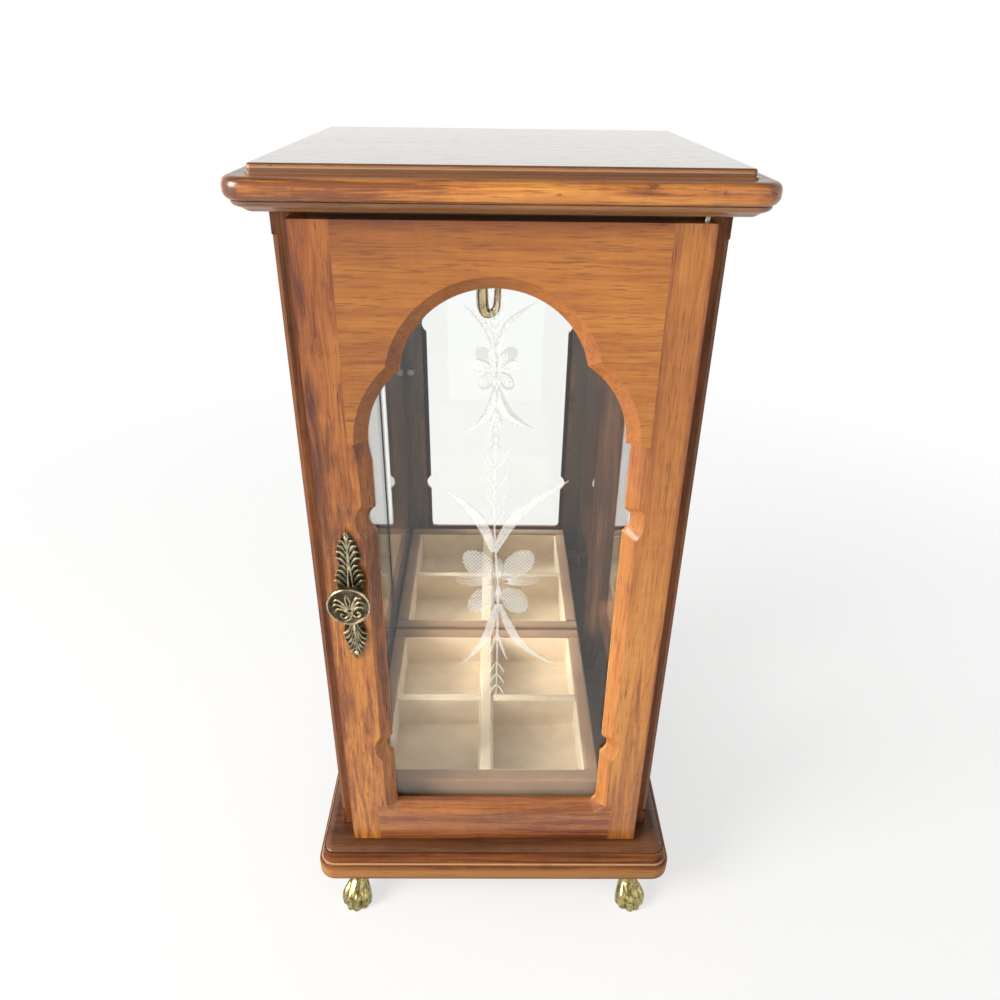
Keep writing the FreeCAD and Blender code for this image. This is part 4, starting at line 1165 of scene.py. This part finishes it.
@dataclass
class Door:
    """Stiles and rails of the glazed door."""

    def build(self) -> None:
        """Dresses the door."""
        # Painted shade: the stiles darken towards the top, and the top rail along its top edge under the lid and
        # towards the left; the bevels round the opening are darkened too. The stiles also darken towards their outer
        # edges, and the bottom rail towards its lower edge.
        left = Wood("left_stile_wood", Grain.UPRIGHT, 51.3, srgb(203, 136, 57), srgb(176, 106, 41), srgb(122, 64, 22),
                    streaks=0.7, figure=1.2, run=24, shade_in_bevels=True, dark_back=True, tones=(
                        (0, -78.0, -73.5, srgb(170, 130, 122)), (2, 340.0, 220.0, srgb(204, 180, 176))))
        right = Wood("right_stile_wood", Grain.UPRIGHT, 57.9, srgb(214, 149, 69), srgb(194, 124, 53), srgb(147, 85, 32),
                     shade_in_bevels=True, dark_back=True, tones=((2, 300.0, 120.0, srgb(220, 206, 204)), (0, 77.6, 75.4, srgb(170, 130, 120))))
        top = Wood("top_rail_wood", Grain.ACROSS, 63.1, srgb(195, 128, 50), srgb(176, 107, 38), srgb(139, 78, 26), streaks=0.25, figure=0.8,
                   shade_in_bevels=True, dark_back=True, tones=((0, -62.0, 40.0, srgb(228, 222, 220)), (2, 368.0, 362.0, srgb(190, 160, 150))))
        bottom = Wood("bottom_rail_wood", Grain.ACROSS, 69.7, srgb(186, 123, 63), srgb(166, 100, 48), srgb(123, 65, 27),
                      dark_back=True, tones=((2, 41.0, 50.0, srgb(190, 160, 150)),))
        for node, wood in (("door_left_stile", left), ("door_right_stile", right), ("door_top_rail", top),
                           ("door_bottom_rail", bottom)):
            dress(wood.made(), node)
        beads = Wood("bead_wood", Grain.ACROSS, 73.3, srgb(130, 86, 52), srgb(104, 66, 38), srgb(70, 42, 24))
        dress(beads.made(), "door_glass_beads")


def mirrored(strokes: Sequence[Stroke]) -> list[Stroke]:
    """Adds to some strokes their like on the other side of x = 0.

    Args:
        strokes: The strokes of one side.

    Returns:
        The strokes of both sides.
    """
    return [*strokes, *(([(-x, y, z) for x, y, z in points], radii) for points, radii in strokes)]


@dataclass
class KnobSet:
    """Round knob with a palmette, on a backplate of two feathers, dark in the hollows."""

    x: float = -65.6
    z: float = 206.0
    plate_front: float = -81.65
    plate_back: float = -80.05
    lean: float = 7.0
    profile: tuple[Pair, ...] = (
        (5.3, 0), (5.35, 0.5), (5.0, 1.0), (4.2, 1.4), (3.7, 1.9), (3.5, 2.6), (3.6, 3.8), (4.2, 4.8), (5.6, 5.5), (7.6, 5.9),
        (9.0, 6.3), (9.6, 6.9), (9.75, 7.5), (9.72, 8.0), (9.55, 8.4), (9.25, 8.6), (8.95, 8.5), (8.75, 8.15), (8.6, 7.75),
        (8.2, 7.6), (5.0, 7.5), (2.0, 7.45), (0.0, 7.45))
    # Points of the palmette's left half on the disc, across and up from its centre
    fronds: tuple[tuple[Pair, ...], ...] = (
        ((-0.25, -1.6), (-0.95, 1.6), (-0.9, 4.4), (0.0, 6.6)),
        ((-0.9, -1.6), (-1.9, 1.0), (-3.5, 3.4), (-4.9, 4.4), (-6.0, 3.4)),
        ((-1.0, -2.4), (-2.4, -0.2), (-4.3, 1.4), (-5.9, 1.9), (-7.0, 0.8)),
        ((-0.9, -3.4), (-2.3, -1.8), (-3.9, -0.9), (-5.3, -0.8), (-6.3, -1.8)),
        ((-0.35, -2.8), (-0.8, -5.0), (-2.6, -6.3), (-4.3, -5.7), (-4.5, -4.2), (-3.5, -3.6), (-3.0, -4.4)),
        ((-0.1, -6.8), (-2.2, -8.0), (-4.6, -7.6), (-6.4, -6.4), (-7.0, -5.0)),
        ((-0.1, -3.6), (-0.3, -5.6), (-0.1, -7.6)))
    # Barbs of the feathers' left half on the plate: across from its middle, and up from the knob's centre
    barbs: tuple[tuple[Pair, ...], ...] = (
        ((-0.2, 26.8), (-0.7, 30.0), (-0.7, 32.2), (0.0, 34.2)),
        ((-0.2, 24.4), (-1.0, 27.4), (-2.0, 29.4), (-3.0, 29.0)),
        ((-0.3, 21.8), (-1.5, 25.0), (-3.0, 26.8), (-4.2, 26.2)),
        ((-0.3, 18.6), (-1.8, 21.8), (-3.6, 23.9), (-5.0, 23.2)),
        ((-0.3, 15.2), (-2.0, 18.6), (-4.0, 20.6), (-5.5, 19.8)),
        ((-0.3, 11.8), (-1.6, 14.8), (-3.0, 16.6), (-4.4, 16.2)),
        ((-0.8, 9.0), (-2.2, 12.2), (-4.0, 14.2), (-5.5, 13.6)),
        ((-1.2, 6.6), (-3.0, 9.8), (-5.0, 11.8), (-6.5, 11.0)),
        ((-1.8, 4.4), (-3.9, 7.0), (-5.8, 8.8), (-7.1, 8.0)),
        ((-0.8, -14.0), (-2.0, -18.6), (-4.2, -21.2), (-6.0, -21.2)),
        ((-0.7, -17.0), (-1.8, -21.6), (-3.8, -24.2), (-5.5, -24.4)),
        ((-0.6, -20.0), (-1.6, -24.4), (-3.3, -27.0), (-4.8, -27.4)),
        ((-0.5, -22.8), (-1.3, -26.8), (-2.7, -29.6), (-4.0, -30.0)),
        ((-0.3, -25.4), (-0.9, -29.2), (-2.0, -31.8), (-3.0, -32.4)),
        ((-0.1, -28.4), (-0.5, -32.0), (-0.9, -34.0), (0.0, -36.2)))

    def palmette(self) -> bpy.types.Object:
        """Lays the palmette over the disc, in the knob's own upright frame."""
        height = 7.6
        strokes = []
        for number, points in enumerate(self.fronds):
            size = 0.36 if number in (0, 5, 6) else 0.5
            radii = [size * (0.65 + 0.6 * math.sin(math.pi * min(1.0, (step + 1.2) / len(points)) * 0.8))
                     for step in range(len(points))]
            radii[-1] *= 0.75
            strokes.append(([(x, z, height) for x, z in points], radii))
        relief = carved("palmette", mirrored(strokes), 3, 6)
        with shaping(relief):
            bpy.ops.transform.rotate(value=math.radians(-self.lean), orient_axis="Z", center_override=(0, 0, 0))
        return relief

    def knob(self) -> bpy.types.Object:
        """Turns the knob, lays its relief and sets it in its place."""
        piece = joined("knob_and_palmette", turned("knob_disc", self.profile, 72), self.palmette())
        piece.data.transform(Matrix.Translation(Vector((self.x, self.plate_front, self.z)) * MM) @ Matrix.Rotation(math.pi / 2, 4, "X"))
        return piece

    def backplate(self) -> bpy.types.Object:
        """Lays the barbs of both feathers over a thin leaf-shaped ground."""
        crest = self.plate_front + 0.15
        strokes = []
        for number, points in enumerate(self.barbs):
            size = 0.62 if number in (0, len(self.barbs) - 1) else 0.74
            radii = [size * share for share in (0.55, 0.8, 1.0, 0.62)]
            strokes.append(([(x, crest, z) for x, z in points], radii))
        barbs = carved("barbs", mirrored(strokes), 3, 6)
        stem = carved("stem", [([(0, crest, -33), (0, crest, -24), (0, crest, -14)], [0.4, 0.6, 0.9]),
                               ([(0, crest, 4), (0, crest, 16), (0, crest, 32)], [1.6, 0.8, 0.35])], 3, 6)
        relief = flattened(joined("relief", barbs, stem), (1, 0.6, 1), (0, self.plate_front + 0.3, 0))
        spread = [([(0, 0, 2), (0, 0, 8), (0, 0, 13), (0, 0, 17)], [5.4, 6.6, 5.4, 3.6]),
                  ([(0, 0, 14), (0, 0, 20), (0, 0, 27), (0, 0, 33)], [3.4, 5.4, 4.0, 0.7]),
                  ([(0, 0, 2), (0, 0, -8), (0, 0, -16)], [4.6, 4.2, 3.6]), ([(0, 0, -14), (0, 0, -21), (0, 0, -28), (0, 0, -35)], [3.6, 5.4, 4.0, 0.6])]
        ground = flattened(carved("ground", spread, 5, 6), (1, 0.12, 1), (0, 0, 0))
        ground.data.transform(Matrix.Translation((0, (self.plate_front + self.plate_back) / 2 * MM, 0)))
        with shaping(ground):
            bpy.ops.mesh.bisect(plane_co=(0, self.plate_back * MM, 0), plane_no=(0, 1, 0), use_fill=True, clear_outer=True)
        piece = joined("backplate_feathers", ground, relief)
        piece.data.transform(Matrix.Translation(Vector((self.x, 0, self.z)) * MM))
        return piece

    def build(self) -> None:
        """Makes the knob and its backplate."""
        bright, dull, hollow = srgb(226, 212, 176), srgb(128, 112, 78), srgb(34, 28, 19)
        top = self.plate_front - 8.0
        field = srgb(66, 57, 40)
        knob = Brass("knob_brass", bright, dull, field, rough=0.2, hollow_from=(1, top - 0.15, top + 0.3))
        plate = Brass("backplate_brass", bright, dull, hollow, rough=0.2,
                      hollow_from=(1, self.plate_front - 0.24, self.plate_front + 0.1))
        fit(self.knob(), knob.made(), Body.DOOR, "antique_brass", "knob")
        fit(self.backplate(), plate.made(), Body.DOOR, "antique_brass", "knob_backplate")
        dress(plate.made(), "backplate_pins")


@dataclass
class NecklaceHook:
    """A bent brass hook that hangs from the ceiling on a small rose."""

    y: float = -56.95
    middle: float = -4.4
    ceiling: float = 358.0
    low: float = 326.95
    collar: tuple[Pair, ...] = ((1.6, -2.4), (2.2, -2.2), (3.4, -1.7), (4.1, -1.1), (4.2, -0.5), (4.2, 0.0))

    def build(self) -> None:
        """Makes the hook and its rose."""
        left, right = self.middle - 2.9, self.middle + 3.0
        path = [(left, self.ceiling - 0.6), (left, 346.0), (left, 336.0), (left + 0.2, 330.6), (left + 1.6, self.low + 1.1),
                (self.middle + 1.2, self.low + 1.5), (right, 330.4), (right + 0.2, 335.0), (right + 0.5, 340.4), (right + 1.0, 342.6)]
        radii = [1.7, 2.1, 2.45, 2.4, 2.0, 1.7, 1.6, 1.45, 1.3, 1.5]
        wire = carved("wire", [([(x, self.y, z) for x, z in path], radii)], 6, 10)
        rose = turned("rose", self.collar, 40)
        rose.data.transform(Matrix.Translation(Vector((left + 0.1, self.y, self.ceiling)) * MM))
        hook = joined("necklace_hook_bent", wire, rose)
        brass = Brass("hook_brass", srgb(214, 192, 142), srgb(150, 126, 82), srgb(40, 30, 18), rough=0.1, spots=0.4)
        fit(hook, brass.made(), Body.CABINET, "polished_brass", "necklace_hook")


@dataclass
class EtchedSpray:
    """Wheel-cut flowers and leaves on the face of the door's glass."""

    face: float = -73.35
    depth: float = 0.03
    # Each blade: points across and up on the glass, and its half width at each
    blades: tuple[tuple[tuple[Pair, ...], tuple[float, ...]], ...] = (
        (((-1.5, 338), (-1.0, 300), (-1.9, 250), (-1.2, 225), (0.3, 209)), (0.3, 0.5, 0.45, 0.5, 0.6)),
        (((0.3, 209), (0.4, 180), (0.2, 160), (0.0, 136)), (0.6, 0.55, 0.4, 0.25)),
        (((-1.3, 316), (-4.0, 326), (-8.5, 332), (-14.0, 335.6)), (0.6, 1.1, 0.8, 0.2)),
        (((-1.0, 316), (1.4, 326), (4.4, 331), (8.8, 334)), (0.6, 1.1, 0.8, 0.2)),
        (((-1.2, 320), (-2.6, 328), (-3.8, 334)), (0.4, 0.7, 0.2)),
        (((-1.1, 320), (0.2, 329), (1.0, 336)), (0.4, 0.7, 0.2)),
        (((-1.2, 302), (-2.6, 294), (-7.0, 287), (-14.5, 283)), (0.7, 1.9, 1.3, 0.2)),
        (((-1.1, 302), (0.6, 294), (4.6, 288.5), (11.4, 285.7)), (0.7, 1.9, 1.3, 0.2)),
        (((-1.4, 294), (-2.6, 288), (-4.4, 282)), (0.4, 0.7, 0.2)),
        (((-1.3, 294), (-0.6, 288), (0.8, 283)), (0.4, 0.7, 0.2)),
        (((-1.9, 224.7), (-5.0, 236), (-12.0, 247), (-23.2, 256.5)), (1.2, 2.9, 2.0, 0.2)),
        (((-1.2, 224.7), (3.6, 238), (14.0, 250), (29.8, 260.9)), (1.2, 2.9, 2.0, 0.2)),
        (((-0.4, 196), (-2.4, 184), (-7.4, 170), (-17.2, 159.8)), (0.9, 2.5, 1.7, 0.2)),
        (((1.2, 196), (5.0, 183), (14.0, 168), (30.1, 158.2)), (0.9, 2.5, 1.7, 0.2)),
        (((-0.2, 178), (-2.0, 170), (-4.6, 163)), (0.5, 0.9, 0.2)),
        (((0.6, 178), (2.4, 170), (5.0, 163)), (0.5, 0.9, 0.2)))
    # Plain petals: middle, reach, half width and direction in degrees from the right
    petals: tuple[tuple[Pair, float, float, float], ...] = (
        ((-1.2, 310), 10.5, 2.7, 165), ((-1.2, 310), 9.6, 2.7, 14), ((-1.2, 310), 9.5, 2.3, 225), ((-1.2, 310), 9.0, 2.3, 312),
        ((-1.2, 310), 8.5, 2.2, 110), ((-1.2, 310), 8.0, 2.2, 62), ((-1.2, 310), 7.0, 2.0, 270))
    # Hatched petals of the same form
    hatched: tuple[tuple[Pair, float, float, float], ...] = (
        ((0.5, 208.4), 22.0, 6.0, 133), ((0.5, 208.4), 22.0, 6.0, 48), ((0.5, 208.4), 21.0, 5.8, 234), ((0.5, 208.4), 21.0, 5.8, 306))
    # Fans of straight cuts: middle, reach, half spread and direction
    fans: tuple[tuple[Pair, float, float, float], ...] = (
        ((0.5, 208.4), 19.5, 17.0, 177), ((0.5, 208.4), 18.6, 17.0, 5), ((0.5, 208.4), 13.0, 15.0, 90), ((0.5, 208.4), 12.0, 12.0, 270))
    # Ears: height of the root, length, and whether they point up or down
    ears: tuple[tuple[float, float, int], ...] = ((266, 9.0, 1), (256, 8.6, 1), (247, 8.0, 1), (239, 6.5, 1),
                                                  (161, 6.0, -1), (154, 6.4, -1), (147, 6.0, -1))

    def petal(self, middle: Pair, reach: float, half: float, angle: float) -> Stroke:
        """A plain petal, round at its end.

        Args:
            middle: The flower's middle.
            reach: How far the petal goes.
            half: Half its width.
            angle: Its direction, in degrees from the right.

        Returns:
            Its stroke.
        """
        turn = math.radians(angle)
        spots = [(middle[0] + math.cos(turn) * reach * share, self.face, middle[1] + math.sin(turn) * reach * share)
                 for share in (0.06, 0.35, 0.7, 0.93, 1.0)]
        return spots, [0.4, half * 0.75, half * 1.05, half * 0.7, 0.3]

    def hatch(self, middle: Pair, reach: float, half: float, angle: float, pitch: float = 1.35) -> list[Stroke]:
        """The crossing cuts of a hatched petal.

        Args:
            middle: The flower's middle.
            reach: How far the petal goes.
            half: Half its width.
            angle: Its direction, in degrees from the right.
            pitch: The space between two cuts.

        Returns:
            Their strokes.
        """
        turn = math.radians(angle)
        centre, long = 0.61 * reach, 0.39 * reach
        cuts: list[Stroke] = []
        for slant in (math.radians(45) - turn, math.radians(135) - turn):
            for line in range(-9, 10):
                inside = []
                for share in range(-40, 41):
                    along = math.cos(slant) * share * 0.3 - math.sin(slant) * line * pitch
                    across = math.sin(slant) * share * 0.3 + math.cos(slant) * line * pitch
                    if (along / long) ** 2 + (across / half) ** 2 < 1:
                        inside.append((along + centre, across))
                if len(inside) > 3:
                    ends = [inside[0], inside[len(inside) // 2], inside[-1]]
                    spots = [(middle[0] + math.cos(turn) * a - math.sin(turn) * b, self.face,
                              middle[1] + math.sin(turn) * a + math.cos(turn) * b) for a, b in ends]
                    cuts.append((spots, [0.14, 0.18, 0.14]))
        return cuts

    def build(self) -> None:
        """Cuts the spray."""
        plain = [([(x, self.face, z) for x, z in points], list(widths)) for points, widths in self.blades]
        plain += [self.petal(*petal) for petal in self.petals]
        for height, length, up in self.ears:
            for side in (-1, 1):
                root = -0.9 if height > 200 else 0.2
                plain.append(([(root, self.face, height), (root + side * length * 0.36, self.face, height + up * length * 0.42),
                               (root + side * length * 0.6, self.face, height + up * length * 1.1)], [0.25, 0.8, 0.15]))
        fine = [cut for petal in self.hatched for cut in self.hatch(*petal)]
        for (x, z), reach, spread, angle in self.fans:
            for step in range(-5, 6):
                turn = math.radians(angle + spread * step / 5)
                far = reach * (1 - 0.018 * step * step)
                fine.append(([(x + math.cos(turn) * far * share, self.face, z + math.sin(turn) * far * share)
                              for share in (0.25, 0.6, 1.0)], [0.16, 0.22, 0.1]))
        share = (1, self.depth, 1)
        spray = flattened(carved("etched_spray", plain, 2, 6), share, (0, self.face - 0.01, 0))
        cuts = flattened(carved("etched_hatching", fine, 1, 1), share, (0, self.face - 0.01, 0))
        ground = [self.petal(middle, reach, half * 0.95, angle) for middle, reach, half, angle in self.hatched]
        veil = flattened(carved("etched_ground", ground, 2, 6), (1, self.depth / 2, 1), (0, self.face - 0.01, 0))
        fit(spray, Frosting("frosted_cut", 0.27).made(), Body.DOOR, "glass")
        fit(cuts, Frosting("bright_cut", 0.55).made(), Body.DOOR, "glass")
        fit(veil, Frosting("veiled_cut", 0.10).made(), Body.DOOR, "glass")


@dataclass
class Studio:
    """The floor, the lamps and the camera."""

    eye: Triple = (-0.0033, -0.37417, 0.41836)
    lens: float = 28.70
    yaw: float = 0.76
    pitch: float = 29.04
    roll: float = 0.79
    sky: float = 0.32
    key: float = 28.0
    fill: float = 2.0

    def camera(self) -> None:
        """Sets the camera where the photograph was taken from."""
        yaw, pitch, roll = (math.radians(angle) for angle in (self.yaw, self.pitch, self.roll))
        ahead = Vector((math.sin(yaw) * math.cos(pitch), math.cos(yaw) * math.cos(pitch), -math.sin(pitch)))
        level = Vector((math.cos(yaw), -math.sin(yaw), 0))
        over = level.cross(ahead)
        right = level * math.cos(roll) + over * math.sin(roll)
        up = over * math.cos(roll) - level * math.sin(roll)
        put_down()
        bpy.ops.object.camera_add(location=self.eye)
        camera = bpy.context.object
        turn = Matrix((right, up, -ahead)).transposed().to_4x4()
        camera.matrix_world = Matrix.Translation(self.eye) @ turn
        camera.data.sensor_width, camera.data.lens = 36.0, self.lens
        camera.data.clip_start, camera.data.clip_end = 0.01, 20.0
        bpy.context.scene.camera = camera

    def lamp(self, name: str, at: Triple, aim: Triple, size: float, power: float, colour: Colour) -> None:
        """Adds a square soft lamp.

        Args:
            name: The lamp's name.
            at: Where it stands.
            aim: What it faces.
            size: Its side, in metres.
            power: Its power, in watts.
            colour: Its colour.
        """
        put_down()
        bpy.ops.object.light_add(type="AREA", location=at)
        lamp = last_made(name)
        lamp.rotation_mode = "QUATERNION"
        lamp.rotation_quaternion = (Vector(aim) - Vector(at)).to_track_quat("-Z", "Y")
        lamp.data.size, lamp.data.energy, lamp.data.color = size, power, colour

    def floor(self) -> None:
        """Lays the plain pale floor, which fades to white further off."""
        put_down()
        bpy.ops.mesh.primitive_plane_add(size=1.0, location=(0, 1.2, 0))
        floor = last_made("floor")
        floor.scale = (8.0, 9.0, 1.0)
        settle(floor)
        bench = NodeBench("floor_paper")
        path = bench.add("LightPath")
        seen = bench.maths("MAXIMUM", path.outputs["Is Camera Ray"], bench.maths(
            "MAXIMUM", path.outputs["Is Glossy Ray"], path.outputs["Is Transmission Ray"]))
        start = bench.add("TexCoord").outputs["Object"]
        off = bench.add("VectorMath", {"operation": "LENGTH"}, i0=start).outputs["Value"]
        share = bench.stepped(off, 0.12, 0.8, 0.68, 1.0)
        paper = bench.add("BsdfDiffuse", Color=(0.93, 0.925, 0.91, 1))
        glow = bench.add("Emission", Color=(1, 1, 1, 1), Strength=1.0)
        floor.data.materials.append(bench.finish(bench.add(
            "MixShader", i0=bench.maths("MULTIPLY", seen, share), i1=paper.outputs[0], i2=glow.outputs[0])))

    def surroundings(self) -> None:
        """Surrounds the chest with even light and a pale background, which also shows in metal and glass."""
        world = bpy.data.worlds.new("studio")
        bpy.context.scene.world = world
        world.use_nodes = True
        bench = NodeBench("unused")
        bench.tree = world.node_tree
        bench.tree.nodes.clear()
        path = bench.add("LightPath")
        way = bench.add("SeparateXYZ", Vector=bench.add("TexCoord").outputs["Generated"])
        seen = bench.maths("MAXIMUM", path.outputs["Is Camera Ray"], path.outputs["Is Transmission Ray"])
        tones = bench.blend(bench.stepped(way.outputs[2], 0.35, 0.8), (0.95, 0.945, 0.93), (0.32, 0.315, 0.31))
        white = bench.add("Background", Color=(1, 1, 1, 1), Strength=1.0)
        shine = bench.add("Background", Color=tones, Strength=1.0)
        soft = bench.add("Background", Color=(1.0, 0.985, 0.96, 1), Strength=self.sky)
        lit = bench.add("MixShader", i0=path.outputs["Is Glossy Ray"], i1=soft.outputs[0], i2=shine.outputs[0])
        mix = bench.add("MixShader", i0=seen, i1=lit.outputs[0], i2=white.outputs[0])
        out = bench.add("OutputWorld")
        bench.tree.links.new(mix.outputs[0], out.inputs[0])
        bpy.data.materials.remove(bench.material)

    def build(self) -> None:
        """Sets up the whole studio."""
        self.camera()
        self.floor()
        self.surroundings()
        self.lamp("key_lamp", (-1.15, -0.62, 0.75), (0, 0, 0.2), 0.7, self.key, (1.0, 0.98, 0.95))
        self.lamp("fill_lamp", (0.8, -1.0, 0.7), (0, 0, 0.2), 0.9, self.fill, (1.0, 0.98, 0.96))
        bpy.context.scene.view_settings.view_transform = "Standard"


def main() -> None:
    """Builds the chest from the base up, and reports each piece."""
    logging.basicConfig(level=logging.INFO, format="%(name)s: %(message)s")
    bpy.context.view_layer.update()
    for part in (Studio(), Base(), ClawFeet(), Case(), Lid(), Door(), EtchedSpray(), KnobSet(), NecklaceHook(), Tray()):
        LOG.info("building %s", type(part).__name__)
        part.build()
    put_down()


if __name__ == "__main__":
    main()
